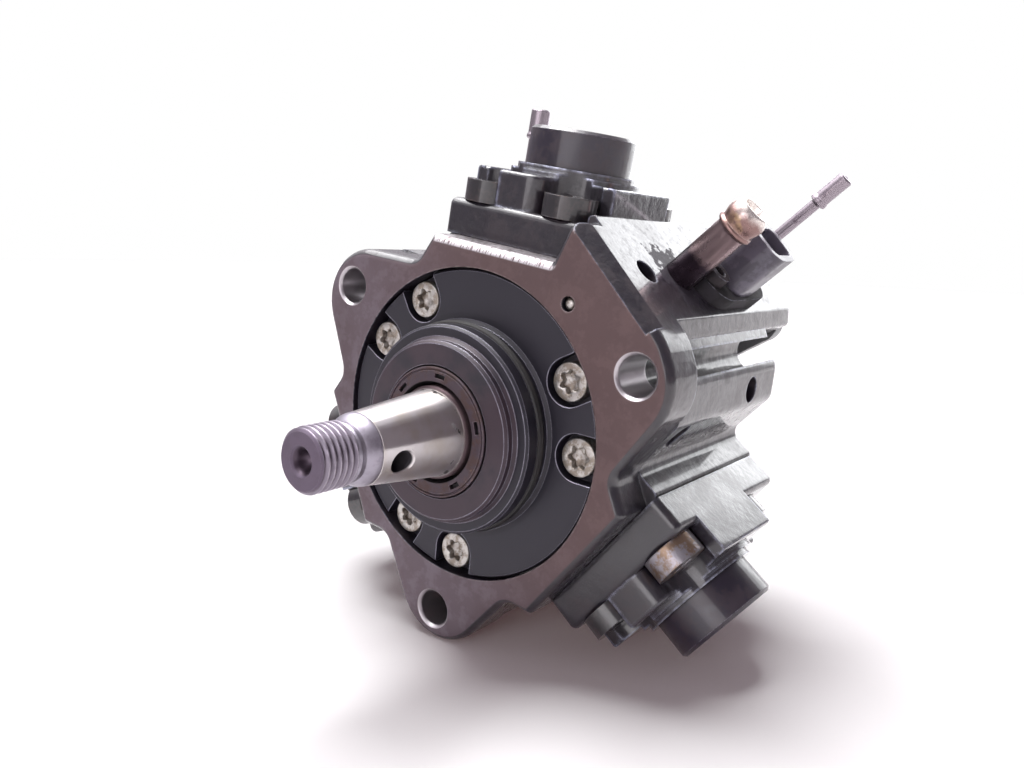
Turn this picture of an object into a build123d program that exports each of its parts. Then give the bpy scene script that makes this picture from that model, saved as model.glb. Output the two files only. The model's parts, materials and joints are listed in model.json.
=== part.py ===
from build123d import *
import os
from math import acos, cos, pi, radians, sin, sqrt, tan

# Three-plunger radial high-pressure diesel pump.
# Row frame, millimetres: the origin is the centre of the mounting flange's front face, on the
# shaft's axis. The shaft points to -Y, the pump body lies towards +Y, and +Z passes through
# the top cylinder head. Angles are counted in the XZ plane from +X towards +Z.

os.makedirs("parts", exist_ok=True)

# ---------------------------------------------------------------- driving dimensions
flange_pcd = 100.0          # bolt circle of the three mounting ears
flange_hole_d = 9.0
flange_thickness = 12.5
ear_angles = (30, 150, 270)
ear_reach = 57.9            # axis to the tip of an ear
ear_rounding = 2.5
hole_chamfer = 0.7
body_depth = 66.0           # front face to the rear face of the housing
lobe_reach = 54.2           # axis to the crest of a body lobe
pilot_d = 50.0
disc_d = 75.8               # bearing flange disc
disc_recess = 1.0
disc_thickness = 6.0
chamber_r = 29.8            # crank chamber
chamber_end = 47.0

head_angles = {"top": 90, "left": 210, "right": 330}
seat_distance = 43.7        # axis to the machined seat of a head
head_offset = 1.8           # a head's centre line stands this far round from the radial line
head_half_width = 20.7
head_front = 9.3
head_rear = 66.0
base_height = 8.8
block_height = 17.3
plunger_depth = 33.6        # front face to the plane of the three plungers
bolt_x = 11.8
bolt_y = 18.6
nose_r = 13.5
nose_end = 73.0             # axis to the end of a head's plug
register_r = 12.5
register_depth = 3.0

eccentricity = 3.0
eccentric_r = 17.0
eccentric_width = 22.0
ring_flat = 23.0            # ring centre to a flat
ring_corner_r = 26.0
plunger_r = 3.25
foot_r = 8.0
foot_thickness = 2.0
foot_clearance = 0.3
journal_r = 11.0
running_clearance = 0.03
fit_clearance = 0.1
bush_wall = 2.0
thread_r = 7.0
shaft_end = -48.7

gear_module = 2.2
gear_teeth = 10
gear_pressure_angle = 25.0
gear_width = 13.8
gear_backlash = 0.30
gear_wall = 2.0             # front wall of the gear pump's body
gear_end_gap = 0.1          # between each end of a gear and its chamber
cover_thickness = 6.0
gear_screw_r = 2.5
gear_screws = [(-16.5, 12.5), (16.5, 12.5), (-16.5, -33.0), (16.5, -33.0)]
arm_screw_at = (-8.5, 46.5)     # screw of the gear pump's arm, seen along the sloped face
gear_screw_depth = 8.0          # how far the gear pump's screws reach into the housing
shoulder_depth = body_depth + gear_wall + gear_width + 2 * gear_end_gap

slope_angle = 51.0          # the inlet shoulder's sloped face, normal direction
slope_distance = 56.0
shoulder_x = 19.6           # inner wall of the inlet shoulder, beside the top head
inlet_at = (0.7, 28.2)      # (along the slope, depth) of the inlet pipe
inlet_r = 3.9
inlet_tip_r = 3.7
inlet_wall = 1.0
port_depth = 8.0            # how deep the pipe and the nipples sit in the casting
port_clearance = 0.05
metering_at = (-2.6, 47.0)
metering_bore_r = 6.6
metering_depth = 18.5
metering_screw_at = 11.4
metering_screw_r = 2.0
metering_screw_depth = 9.0
return_at = (5.0, 74.0)
return_r = 1.5
return_tip_r = 2.1
bleed_at = (-29.8, 52.0)    # (X, Y) of the upright nipple on the left shoulder
bleed_r = 2.3
bleed_tip_r = 2.8
bleed_boss_top = 44.0
bleed_top = 78.5
overflow_at = 38.6
overflow_angle = 12
overflow_bore_r = 4.0
overflow_bore_depth = 18.0
rail_port_at = 38.0
rail_port_r = 5.0


# ---------------------------------------------------------------- planes and small helpers
def front(depth):
    """Sketch plane across the shaft at a depth behind the front face: local x is X, local y is Z."""
    return Plane(origin=(0, depth, 0), x_dir=(1, 0, 0), z_dir=(0, -1, 0))


def radial(angle, distance, depth=0.0, shift=0.0):
    """Sketch plane square to the direction at angle: local x runs round the pump, local y is -Y."""
    outward = Vector(cos(radians(angle)), 0, sin(radians(angle)))
    around = Vector(-sin(radians(angle)), 0, cos(radians(angle)))
    origin = outward * distance + around * shift + Vector(0, depth, 0)
    return Plane(origin=origin, x_dir=around, z_dir=outward)


def ear_point(angle, across, out):
    """Point in the front view, given across and along the direction of an ear."""
    a = radians(angle)
    return (out * cos(a) - across * sin(a), out * sin(a) + across * cos(a))


def slope_point(along, out):
    """Point in the front view, given along the sloped face and away from the axis."""
    return ear_point(slope_angle, along, out)


def polar(radius, angle):
    return (radius * cos(radians(angle)), radius * sin(radians(angle)))


def save(part, name):
    part.label = name
    export_step(part, f"parts/{name}.step")


head_planes = {
    side: radial(angle, seat_distance, plunger_depth, head_offset)
    for side, angle in head_angles.items()
}
ear_r = flange_pcd / 2
slope_outward = Vector(cos(radians(slope_angle)), 0, sin(radians(slope_angle)))
slope_along = Vector(-sin(radians(slope_angle)), 0, cos(radians(slope_angle)))
rim_drop = 2.2              # how far the shoulder's front edge is drawn back, and over what depth
rim_depth = 4.6
rim_reach = 16.5
slope_section = Plane(origin=slope_along * 4, x_dir=slope_outward, z_dir=slope_along)
slope_top = (slope_distance - shoulder_x * cos(radians(slope_angle))) / sin(radians(slope_angle))
disc_back = disc_recess + disc_thickness
screw_angles = (5, 35, 125, 155, 245, 275)
screw_circle = 32.8
screw_head_r = 4.5
screw_shank_r = 2.4
screw_seat = disc_recess + 3.6
eccentric_front = plunger_depth - eccentric_width / 2
eccentric_back = plunger_depth + eccentric_width / 2
foot_rest = ring_flat + eccentricity + foot_clearance
bolt_seat = base_height + 0.4
bolt_head_r = 6.5
bolt_head_height = 5.3
bolt_shank_r = 3.0
bolt_depth = 9.0
spring_bore_r = 10.2


# ---------------------------------------------------------------- pump housing
def flange_outline():
    """Corners and corner radii of the flange, ear by ear, with the inlet shoulder at the upper right."""
    corners, fillets = [], []
    tip = ear_reach
    for angle in ear_angles:
        run = [(-28.6, 37.6, 0.8), (-20.2, 37.4, 4.0), (-7.2, tip, 14.0)]
        if angle == ear_angles[0]:
            run += [(5.4, tip, 14.0)]
        else:
            run += [(8.2, tip, 14.0), (21.0, 38.3, 5.0), (28.2, 38.4, 0.8)]
        for across, out, fillet_r in run:
            corners.append(ear_point(angle, across, out))
            fillets.append(fillet_r)
        if angle == ear_angles[0]:
            ridge = slope_point(18.2, slope_distance)
            corners += [ridge, (17.4, seat_distance)]
            fillets += [2.5, 0.8]
    return corners, fillets


def body_outline():
    """Corners and corner radii of the body behind the flange: three seats and three lobes."""
    corners, fillets = [], []
    for angle in ear_angles:
        run = [(-26.6, 41.3, 1.5), (-19.1, 37.0, 3.0), (-12.6, 50.6, 4.0), (-5.0, lobe_reach, 6.0)]
        if angle == ear_angles[0]:
            run += [(6.5, lobe_reach, 1.0), (10.3, slope_distance - 3.2, 1.5), (12.0, 40.0, 1.0)]
        else:
            run += [(6.0, lobe_reach, 6.0), (12.8, 50.6, 4.0), (21.5, 37.6, 4.0)]
            run += [(28.1, 38.7, 1.5)]
        for across, out, fillet_r in run:
            corners.append(ear_point(angle, across, out))
            fillets.append(fillet_r)
        if angle == ear_angles[0]:
            corners.append((shoulder_x, seat_distance))
            fillets.append(0.5)
    return corners, fillets


def rounded_prism(corners, fillets, depth, length):
    """Closed outline with its own radius at each corner, carried towards +Y."""
    with BuildPart() as prism:
        with BuildSketch(front(depth)):
            with BuildLine():
                FilletPolyline(*corners, radius=fillets, close=True)
            make_face()
        extrude(amount=-length)
    return prism.part


with BuildPart() as flange_block:
    add(rounded_prism(*flange_outline(), 0, flange_thickness))
    # the casting is rounded over towards the inlet shoulder and its ear
    shoulder_side = flange_block.edges().filter_by_position(Axis.Y, 0, 0).filter_by_position(Axis.X, 40, 70)
    fillet(shoulder_side, ear_rounding)
body_block = rounded_prism(*body_outline(), flange_thickness - 1, body_depth - flange_thickness + 1)
shoulder_block = rounded_prism(
    [
        (shoulder_x, seat_distance - 12),
        (shoulder_x, slope_top),
        slope_point(-11.0, slope_distance),
        slope_point(-14.5, slope_distance - 3.0),
        slope_point(-12.0, slope_distance - 14.0),
    ],
    [2.0, 1.2, 1.0, 1.5, 3.0],
    flange_thickness - 4,
    shoulder_depth - flange_thickness + 4,
)

with BuildPart() as pump_housing:
    add(flange_block.part)
    # the shoulder's front edge is drawn back, more steeply than a plain chamfer
    with BuildSketch(slope_section):
        with BuildLine():
            Polyline(
                (slope_distance - rim_drop, -1), (slope_distance - rim_drop, 0), (slope_distance, rim_depth),
                (slope_distance + 9, rim_depth), (slope_distance + 9, -1), close=True,
            )
        make_face()
    extrude(amount=rim_reach, both=True, mode=Mode.SUBTRACT)
    add(body_block)
    add(shoulder_block)
    # bolt channel behind each ear, and the through hole of the ear
    with BuildSketch(front(flange_thickness)):
        with PolarLocations(ear_r, 3, start_angle=ear_angles[0]):
            Circle(5.2)
    extrude(amount=-(body_depth - flange_thickness), mode=Mode.SUBTRACT)
    with BuildSketch(front(0)):
        with PolarLocations(ear_r, 3, start_angle=ear_angles[0]):
            Circle(flange_hole_d / 2)
    extrude(amount=-flange_thickness, mode=Mode.SUBTRACT)
    hole_rims = pump_housing.edges().filter_by(GeomType.CIRCLE).filter_by_position(Axis.Y, 0, 0)
    chamfer([rim for rim in hole_rims if abs(rim.radius - flange_hole_d / 2) < 0.01], hole_chamfer)
    # counterbore of the bearing flange, crank chamber and rear bearing bore
    with BuildSketch(front(0)):
        Circle(disc_d / 2 + 0.3)
    extrude(amount=-disc_back, mode=Mode.SUBTRACT)
    with BuildSketch(front(0)):
        Circle(chamber_r)
    extrude(amount=-chamber_end, mode=Mode.SUBTRACT)
    with BuildSketch(front(0)):
        Circle(journal_r + bush_wall)
    extrude(amount=-body_depth, mode=Mode.SUBTRACT)
    with BuildSketch(front(0)):
        with Locations(*[polar(screw_circle, a) for a in screw_angles]):
            Circle(screw_shank_r + 0.05)
    extrude(amount=-(disc_back + 9), mode=Mode.SUBTRACT)
    # head seats: plunger spring bore, register and four tapped holes each
    for plane in head_planes.values():
        with BuildSketch(plane):
            Circle(register_r)
        extrude(amount=-register_depth - 0.2, mode=Mode.SUBTRACT)
        with BuildSketch(plane):
            Circle(spring_bore_r)
        extrude(amount=-20, mode=Mode.SUBTRACT)
        with BuildSketch(plane):
            with GridLocations(2 * bolt_x, 2 * bolt_y, 2, 2):
                Circle(bolt_shank_r + 0.05)
        extrude(amount=-bolt_depth - 1, mode=Mode.SUBTRACT)
    # clearance behind the top of the flange, so that each head stands on its seat alone
    for plane in head_planes.values():
        with BuildSketch(plane):
            with Locations((0, (2 * plunger_depth - head_front - head_rear) / 2)):
                Rectangle(2 * head_half_width + 1.0, head_rear - head_front + 0.8)
        extrude(amount=base_height + 3, mode=Mode.SUBTRACT)
    # inlet port, metering valve bore, return port and two cross drillings on the shoulder
    slope = radial(slope_angle, slope_distance)
    with BuildSketch(slope):
        with Locations((inlet_at[0], -inlet_at[1])):
            Circle(inlet_r + port_clearance)
    extrude(amount=-port_depth, mode=Mode.SUBTRACT)
    with BuildSketch(slope):
        with Locations((inlet_at[0], -inlet_at[1])):
            Circle(inlet_r - inlet_wall - 0.5)
    extrude(amount=-port_depth - 6, mode=Mode.SUBTRACT)
    with BuildSketch(slope):
        with Locations((metering_at[0], -metering_at[1])):
            Circle(metering_bore_r)
    extrude(amount=-metering_depth - 0.5, mode=Mode.SUBTRACT)
    with BuildSketch(slope):
        with Locations((return_at[0], -return_at[1])):
            Circle(return_r + port_clearance)
    extrude(amount=-port_depth, mode=Mode.SUBTRACT)
    with BuildSketch(radial(slope_angle - 6, slope_distance)):
        with Locations((8.2, -14.4)):
            Circle(3.1)
    extrude(amount=-14, both=True, mode=Mode.SUBTRACT)
    for angle, depth, size in ((12, 18.5, 2.8), (20, 51.0, 3.2)):
        with BuildSketch(radial(angle, lobe_reach + 4, depth)):
            Circle(size)
        extrude(amount=-13, mode=Mode.SUBTRACT)
    # tapped holes of the metering unit and of the gear pump
    with BuildSketch(slope):
        for screw_y in (metering_at[1] - metering_screw_at, metering_at[1] + metering_screw_at):
            with Locations((metering_at[0], -screw_y)):
                Circle(metering_screw_r + 0.05)
    extrude(amount=-metering_screw_depth - 1, mode=Mode.SUBTRACT)
    with BuildSketch(front(body_depth)):
        with Locations(*gear_screws):
            Circle(gear_screw_r + 0.05)
    extrude(amount=gear_screw_depth + 1, mode=Mode.SUBTRACT)
    with BuildSketch(front(shoulder_depth)):
        with Locations(slope_point(*arm_screw_at)):
            Circle(gear_screw_r + 0.05)
    extrude(amount=gear_screw_depth + 1, mode=Mode.SUBTRACT)
    # overflow valve bore in the rear face, ball-plugged drilling in the front face
    with BuildSketch(front(body_depth)):
        with Locations(polar(overflow_at, overflow_angle)):
            Circle(overflow_bore_r)
    extrude(amount=overflow_bore_depth, mode=Mode.SUBTRACT)
    with BuildSketch(front(0)):
        with Locations(polar(43.0, 56.4)):
            Circle(1.7)
    extrude(amount=-9, mode=Mode.SUBTRACT)
    with BuildSketch(front(body_depth)):
        with Locations(polar(rail_port_at, 150)):
            Circle(rail_port_r)
    extrude(amount=12, mode=Mode.SUBTRACT)
    # boss and port of the bleed nipple on the left shoulder
    with BuildSketch(Plane(origin=(*bleed_at, 34.0))):
        Circle(5.0)
    extrude(amount=bleed_boss_top - 34.0)
    with BuildSketch(Plane(origin=(*bleed_at, bleed_boss_top))):
        Circle(bleed_r + port_clearance)
    extrude(amount=-port_depth, mode=Mode.SUBTRACT)
save(pump_housing.part, "pump_housing")
print("pump housing")

# ---------------------------------------------------------------- bearing flange and its seals
def turned(points):
    """Closed (radius, depth) profile turned about the shaft's axis."""
    with BuildPart() as solid:
        with BuildSketch(Plane.XY):
            with BuildLine():
                Polyline(*points, close=True)
            make_face()
        revolve(axis=Axis.Y)
    return solid.part


def turned_about(plane, points):
    """Closed (radius, height) profile turned about the normal of a plane."""
    section = Plane(origin=plane.origin, x_dir=plane.x_dir, z_dir=-plane.y_dir)
    with BuildPart() as solid:
        with BuildSketch(section):
            with BuildLine():
                Polyline(*points, close=True)
            make_face()
        revolve(axis=Axis(plane.origin, plane.z_dir))
    return solid.part


pilot_r = pilot_d / 2
disc_r = disc_d / 2
bush_r = journal_r + bush_wall
spigot_end = 20.0
spigot_r = chamber_r - fit_clearance
collar_r = 21.5
seal_bore_r = 15.5
pilot_front = -7.0
collar_front = -10.0
ring_groove = (-3.2, -0.8)          # O-ring groove in the pilot
ring_groove_r = 23.2
case_groove = (10.0, 12.0)          # O-ring groove in the spigot
case_groove_r = 27.9
bush_front = 0.6
pocket_r = 5.6

with BuildPart() as bearing_flange:
    with BuildSketch(Plane.XY):
        with BuildLine():
            Polyline(
                (bush_r, spigot_end), (spigot_r - 0.6, spigot_end), (spigot_r, spigot_end - 0.6),
                (spigot_r, case_groove[1]), (case_groove_r, case_groove[1]),
                (case_groove_r, case_groove[0]), (spigot_r, case_groove[0]),
                (spigot_r, disc_back), (disc_r, disc_back), (disc_r, disc_recess + 0.5),
                (disc_r - 0.5, disc_recess), (pilot_r + 1.0, disc_recess), (pilot_r, disc_recess - 0.6),
                (pilot_r, ring_groove[1]), (ring_groove_r, ring_groove[1]),
                (ring_groove_r, ring_groove[0]), (pilot_r, ring_groove[0]),
                (pilot_r, pilot_front + 0.6), (pilot_r - 0.6, pilot_front),
                (collar_r + 0.8, pilot_front), (collar_r, pilot_front - 0.8),
                (collar_r, collar_front + 0.7), (collar_r - 0.7, collar_front),
                (seal_bore_r + 0.4, collar_front), (seal_bore_r, collar_front + 0.4),
                (seal_bore_r, -2.5), (bush_r, -2.5), close=True,
            )
        make_face()
    revolve(axis=Axis.Y)
    # screw pockets, open at the rim
    for angle in screw_angles:
        pocket = radial(angle, screw_circle)
        along = Plane(origin=(0, screw_seat, 0), x_dir=pocket.z_dir, z_dir=(0, -1, 0))
        with BuildSketch(along):
            with Locations((screw_circle, 0)):
                Circle(pocket_r)
            with Locations((screw_circle + pocket_r, 0)):
                Rectangle(2 * pocket_r, 2 * pocket_r)
        extrude(amount=screw_seat, mode=Mode.SUBTRACT)
    with BuildSketch(front(0)):
        with Locations(*[polar(screw_circle, a) for a in screw_angles]):
            Circle(screw_shank_r + 0.2)
    extrude(amount=-disc_back, mode=Mode.SUBTRACT)
save(bearing_flange.part, "bearing_flange")


def o_ring(major, minor, depth, name):
    with BuildPart() as ring:
        with BuildSketch(Plane.XY):
            with Locations((major, depth)):
                RegularPolygon(minor, 8)
        revolve(axis=Axis.Y)
    save(ring.part, name)


o_ring((ring_groove_r + 25.9) / 2, 1.2, sum(ring_groove) / 2, "pilot_o_ring")
o_ring((case_groove_r + chamber_r) / 2, 0.9, sum(case_groove) / 2, "case_o_ring")

seal_front = collar_front + 0.3
with BuildPart() as shaft_seal:
    add(turned([
        (seal_bore_r - 0.05, seal_front), (12.5, seal_front), (12.2, seal_front + 0.3),
        (11.6, seal_front + 1.5), (journal_r + 0.06, seal_front + 3.3), (journal_r + 0.06, seal_front + 3.7),
        (12.4, seal_front + 4.3), (12.8, seal_front + 1.5), (14.0, seal_front + 1.3),
        (14.0, seal_front + 6.5), (seal_bore_r - 0.05, seal_front + 6.5),
    ]))
save(shaft_seal.part, "shaft_seal")

with BuildPart() as front_bush:
    add(turned([
        (journal_r + running_clearance, bush_front), (bush_r, bush_front),
        (bush_r, spigot_end - 0.4), (journal_r + running_clearance, spigot_end - 0.4),
    ]))
save(front_bush.part, "front_bush")

with BuildPart() as rear_bush:
    add(turned([
        (journal_r + running_clearance, chamber_end + 1.4), (bush_r, chamber_end + 1.4),
        (bush_r, body_depth - 1.6), (journal_r + running_clearance, body_depth - 1.6),
    ]))
save(rear_bush.part, "rear_bush")

with BuildPart() as flange_screws:
    for angle in screw_angles:
        spot = polar(screw_circle, angle)
        with BuildSketch(front(screw_seat)):
            with Locations(spot):
                Circle(screw_head_r)
        extrude(amount=3.0)
        with BuildSketch(front(screw_seat)):
            with Locations(spot):
                Circle(screw_shank_r)
        extrude(amount=-10.5)
        with BuildSketch(Plane(origin=(spot[0], screw_seat - 3.0, spot[1]), x_dir=(1, 0, 0), z_dir=(0, -1, 0))):
            RegularPolygon(2.4, 6)
        extrude(amount=-1.6, mode=Mode.SUBTRACT)
save(flange_screws.part, "flange_screws")

with BuildPart() as drilling_plug:
    ball_spot = polar(43.0, 56.4)
    with BuildSketch(Plane(origin=(ball_spot[0], 0, ball_spot[1]), x_dir=(1, 0, 0), z_dir=(0, 0, 1))):
        with BuildLine():
            CenterArc((0, 2.0), 1.66, -90, 180)
            Line((0, 3.66), (0, 0.34))
        make_face()
    revolve(axis=Axis((ball_spot[0], 0, ball_spot[1]), (0, 1, 0)))
save(drilling_plug.part, "drilling_plug")

# ---------------------------------------------------------------- drive shaft and polygon ring
taper_small_r = 8.0
taper_small_at = -33.8
taper_large_at = -11.0
taper_slope = 0.1                   # 1 in 5 on the diameter
taper_large_r = taper_small_r + taper_slope * (taper_large_at - taper_small_at)
neck_r = 6.3
shaft_back = body_depth - 1.8
tang_width = 4.0
tang_height = 11.0
tang_front = shaft_back - 4.5

with BuildPart() as drive_shaft:
    with BuildSketch(Plane.XY):
        with BuildLine():
            outline = Polyline(
                (0, shaft_end + 4.5), (2.2, shaft_end + 1.6), (3.2, shaft_end), (thread_r - 1.0, shaft_end),
                (thread_r, shaft_end + 1.0), (thread_r, -39.6), (neck_r, -38.9), (neck_r + 0.1, -37.6),
                (neck_r + 0.7, -36.2), (taper_small_r - 0.4, -34.7), (taper_small_r, taper_small_at),
                (taper_large_r, taper_large_at), (journal_r, taper_large_at + 0.7),
                (journal_r, shaft_back - 0.8), (journal_r - 0.8, shaft_back), (0, shaft_back),
            )
            Line(outline @ 1, outline @ 0)
        make_face()
    revolve(axis=Axis.Y)
    with BuildSketch(front(eccentric_front)):
        with Locations((0, -eccentricity)):
            Circle(eccentric_r)
    extrude(amount=-eccentric_width)
    with BuildSketch(front(shaft_back)):
        Rectangle(tang_width + 0.1, 3 * journal_r)
    extrude(amount=shaft_back - tang_front, mode=Mode.SUBTRACT)
    with BuildSketch(radial(318, 2.5, -25.0)):
        Circle(2.4)
    extrude(amount=10, mode=Mode.SUBTRACT)
save(drive_shaft.part, "drive_shaft")

bush_outer_r = eccentric_r + bush_wall
ring_width = eccentric_width - 0.8


def about_eccentric(radius_in, radius_out, width):
    with BuildPart() as sleeve:
        with BuildSketch(front(plunger_depth - width / 2)):
            with Locations((0, -eccentricity)):
                Circle(radius_out)
                Circle(radius_in, mode=Mode.SUBTRACT)
        extrude(amount=-width)
    return sleeve.part


with BuildPart() as ring_bush:
    add(about_eccentric(eccentric_r + running_clearance, bush_outer_r, ring_width))
save(ring_bush.part, "ring_bush")

with BuildPart() as polygon_ring:
    add(about_eccentric(bush_outer_r, ring_corner_r, ring_width))
    for angle in head_angles.values():
        flat = radial(angle, ring_flat, plunger_depth)
        with BuildSketch(Plane(origin=flat.origin + Vector(0, 0, -eccentricity), x_dir=flat.x_dir, z_dir=flat.z_dir)):
            Rectangle(2 * ring_corner_r, 2 * ring_width)
        extrude(amount=ring_corner_r, mode=Mode.SUBTRACT)
save(polygon_ring.part, "polygon_ring")

# ---------------------------------------------------------------- cylinder heads and their moving parts
barrel_r = 5.2
barrel_reach = 8.0                  # the plunger barrel hangs this far below the seat
plunger_top = 56.5 - seat_distance  # heights below are counted from the seat
chamber_top = plunger_top + 1.5
valve_r = 4.4
valve_thickness = 1.2
valve_lift = 0.8
valve_room_r = 5.0
plug_seat = block_height - 1.0
plug_shank_r = 7.9
collar_tiers = ((17.0, 1.2), (15.4, 1.4))
collar_top = block_height + sum(height for _, height in collar_tiers)
arm_front = 14.5                    # the side arms' front wall, ahead of the plunger axis
arm_rear = 12.6
front_wall = 8.8                    # the front tower's wall on its tight side
front_slope = 4.8                   # and on its wide side, where a deep pocket is
rear_wall = 4.2
corner_r = 6.0
outlet_height = chamber_top - 0.8
ball_r = 2.1
ball_at = 11.6                      # plunger axis to the resting ball, towards the rear
ball_travel = 0.9
outlet_room_r = 2.4
outlet_plug_at = 21.5
rear_reach = head_rear - plunger_depth
front_reach = plunger_depth - head_front
block_middle = (front_reach - rear_reach) / 2


def head_block(wide_side):
    """Plan of a head's upper block: a cross whose front arm leaves a deeper pocket on its wide side."""
    side_out = head_half_width - 0.5
    front_out = front_reach - 1.0
    rear_out = rear_reach - 0.5
    points = [
        (-front_wall, front_out), (-front_wall, arm_front), (-side_out, arm_front), (-side_out, -arm_rear),
        (-rear_wall, -arm_rear), (-rear_wall, -rear_out), (rear_wall, -rear_out), (rear_wall, -arm_rear),
        (side_out, -arm_rear), (side_out, arm_front), (front_slope, arm_front), (front_slope, front_out),
    ]
    with BuildSketch(Plane.XY) as block:
        with BuildLine():
            Polyline(*[(wide_side * x, y) for x, y in points], close=True)
        make_face()
        for corner, radius in ((1, corner_r), (4, corner_r), (7, corner_r), (10, corner_r - 1.4), (11, 4.0)):
            x, y = points[corner]
            fillet(block.vertices().sort_by_distance((wide_side * x, y, 0))[0], radius)
    return block.sketch


def cylinder_head(plane, name, wide_side):
    with BuildPart() as head:
        with BuildSketch(plane):
            with Locations((0, block_middle)):
                RectangleRounded(2 * head_half_width, front_reach + rear_reach, 2.0)
        extrude(amount=base_height)
        fillet(head.faces().sort_by(Axis(plane.origin, plane.z_dir))[-1].edges(), 1.8)
        with BuildSketch(plane.offset(base_height - 2.3)):
            add(head_block(wide_side))
        extrude(amount=block_height - base_height + 2.3)
        fillet(head.faces().sort_by(Axis(plane.origin, plane.z_dir))[-1].edges(), 0.9)
        height = block_height
        for tier_r, tier in collar_tiers:
            with BuildSketch(plane.offset(height)):
                Circle(tier_r)
            extrude(amount=tier)
            height += tier
        # register and barrel below the seat
        add(turned_about(plane, [
            (0, 0.5), (register_r - fit_clearance, 0.5), (register_r - fit_clearance, -0.6),
            (register_r - 1.1, -0.6), (register_r - 1.1, -2.2), (register_r - fit_clearance, -2.2),
            (register_r - fit_clearance, -register_depth), (barrel_r, -register_depth),
            (barrel_r, -barrel_reach), (0, -barrel_reach),
        ]))
        # plunger bore, valve chamber and plug bore
        for radius, low, high in (
            (plunger_r + running_clearance, -barrel_reach, chamber_top),
            (valve_room_r, chamber_top, plug_seat), (plug_shank_r + 0.05, plug_seat, collar_top),
        ):
            with BuildSketch(plane.offset(low)):
                Circle(radius)
            extrude(amount=high - low, mode=Mode.SUBTRACT)
        # bolt holes
        with BuildSketch(plane):
            with GridLocations(2 * bolt_x, 2 * bolt_y, 2, 2):
                Circle(bolt_shank_r + 0.3)
        extrude(amount=block_height, mode=Mode.SUBTRACT)
        with BuildSketch(plane.offset(bolt_seat - 0.5)):
            with GridLocations(2 * bolt_x, 2 * bolt_y, 2, 2):
                Circle(bolt_head_r + 0.4)
        extrude(amount=block_height, mode=Mode.SUBTRACT)
        # outlet drilling and check valve bore, from the pumping chamber to the rear
        outlet = Plane(origin=plane.origin + plane.z_dir * outlet_height, x_dir=plane.x_dir, z_dir=(0, 1, 0))
        for radius, near, far in (
            (0.9, 0, ball_at), (outlet_room_r, ball_at - 1.0, outlet_plug_at), (3.2, outlet_plug_at, rear_reach),
        ):
            with BuildSketch(outlet.offset(near)):
                Circle(radius)
            extrude(amount=far - near, mode=Mode.SUBTRACT)
    save(head.part, name)


for side, plane in head_planes.items():
    cylinder_head(plane, f"cylinder_head_{side}", 1 if side == "right" else -1)

# one set of moving parts for each head
plug_room_r = 3.5
plug_room_top = plug_seat + 4.5
nose_height = nose_end - seat_distance - collar_top
spring_r = 7.0
spring_wire_r = 0.85
spring_turns = 4.5
spring_low = foot_rest + foot_thickness - seat_distance + spring_wire_r
spring_high = -register_depth - spring_wire_r
valve_low = chamber_top + 0.05
small_spring = (1.9, 2.6)           # bore and outside radius of the inlet valve's spring
outlet_spring = (1.3, 1.9)

head_bolt_sets = []
head_ring_sets = []
outlet_plug_sets = []

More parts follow.
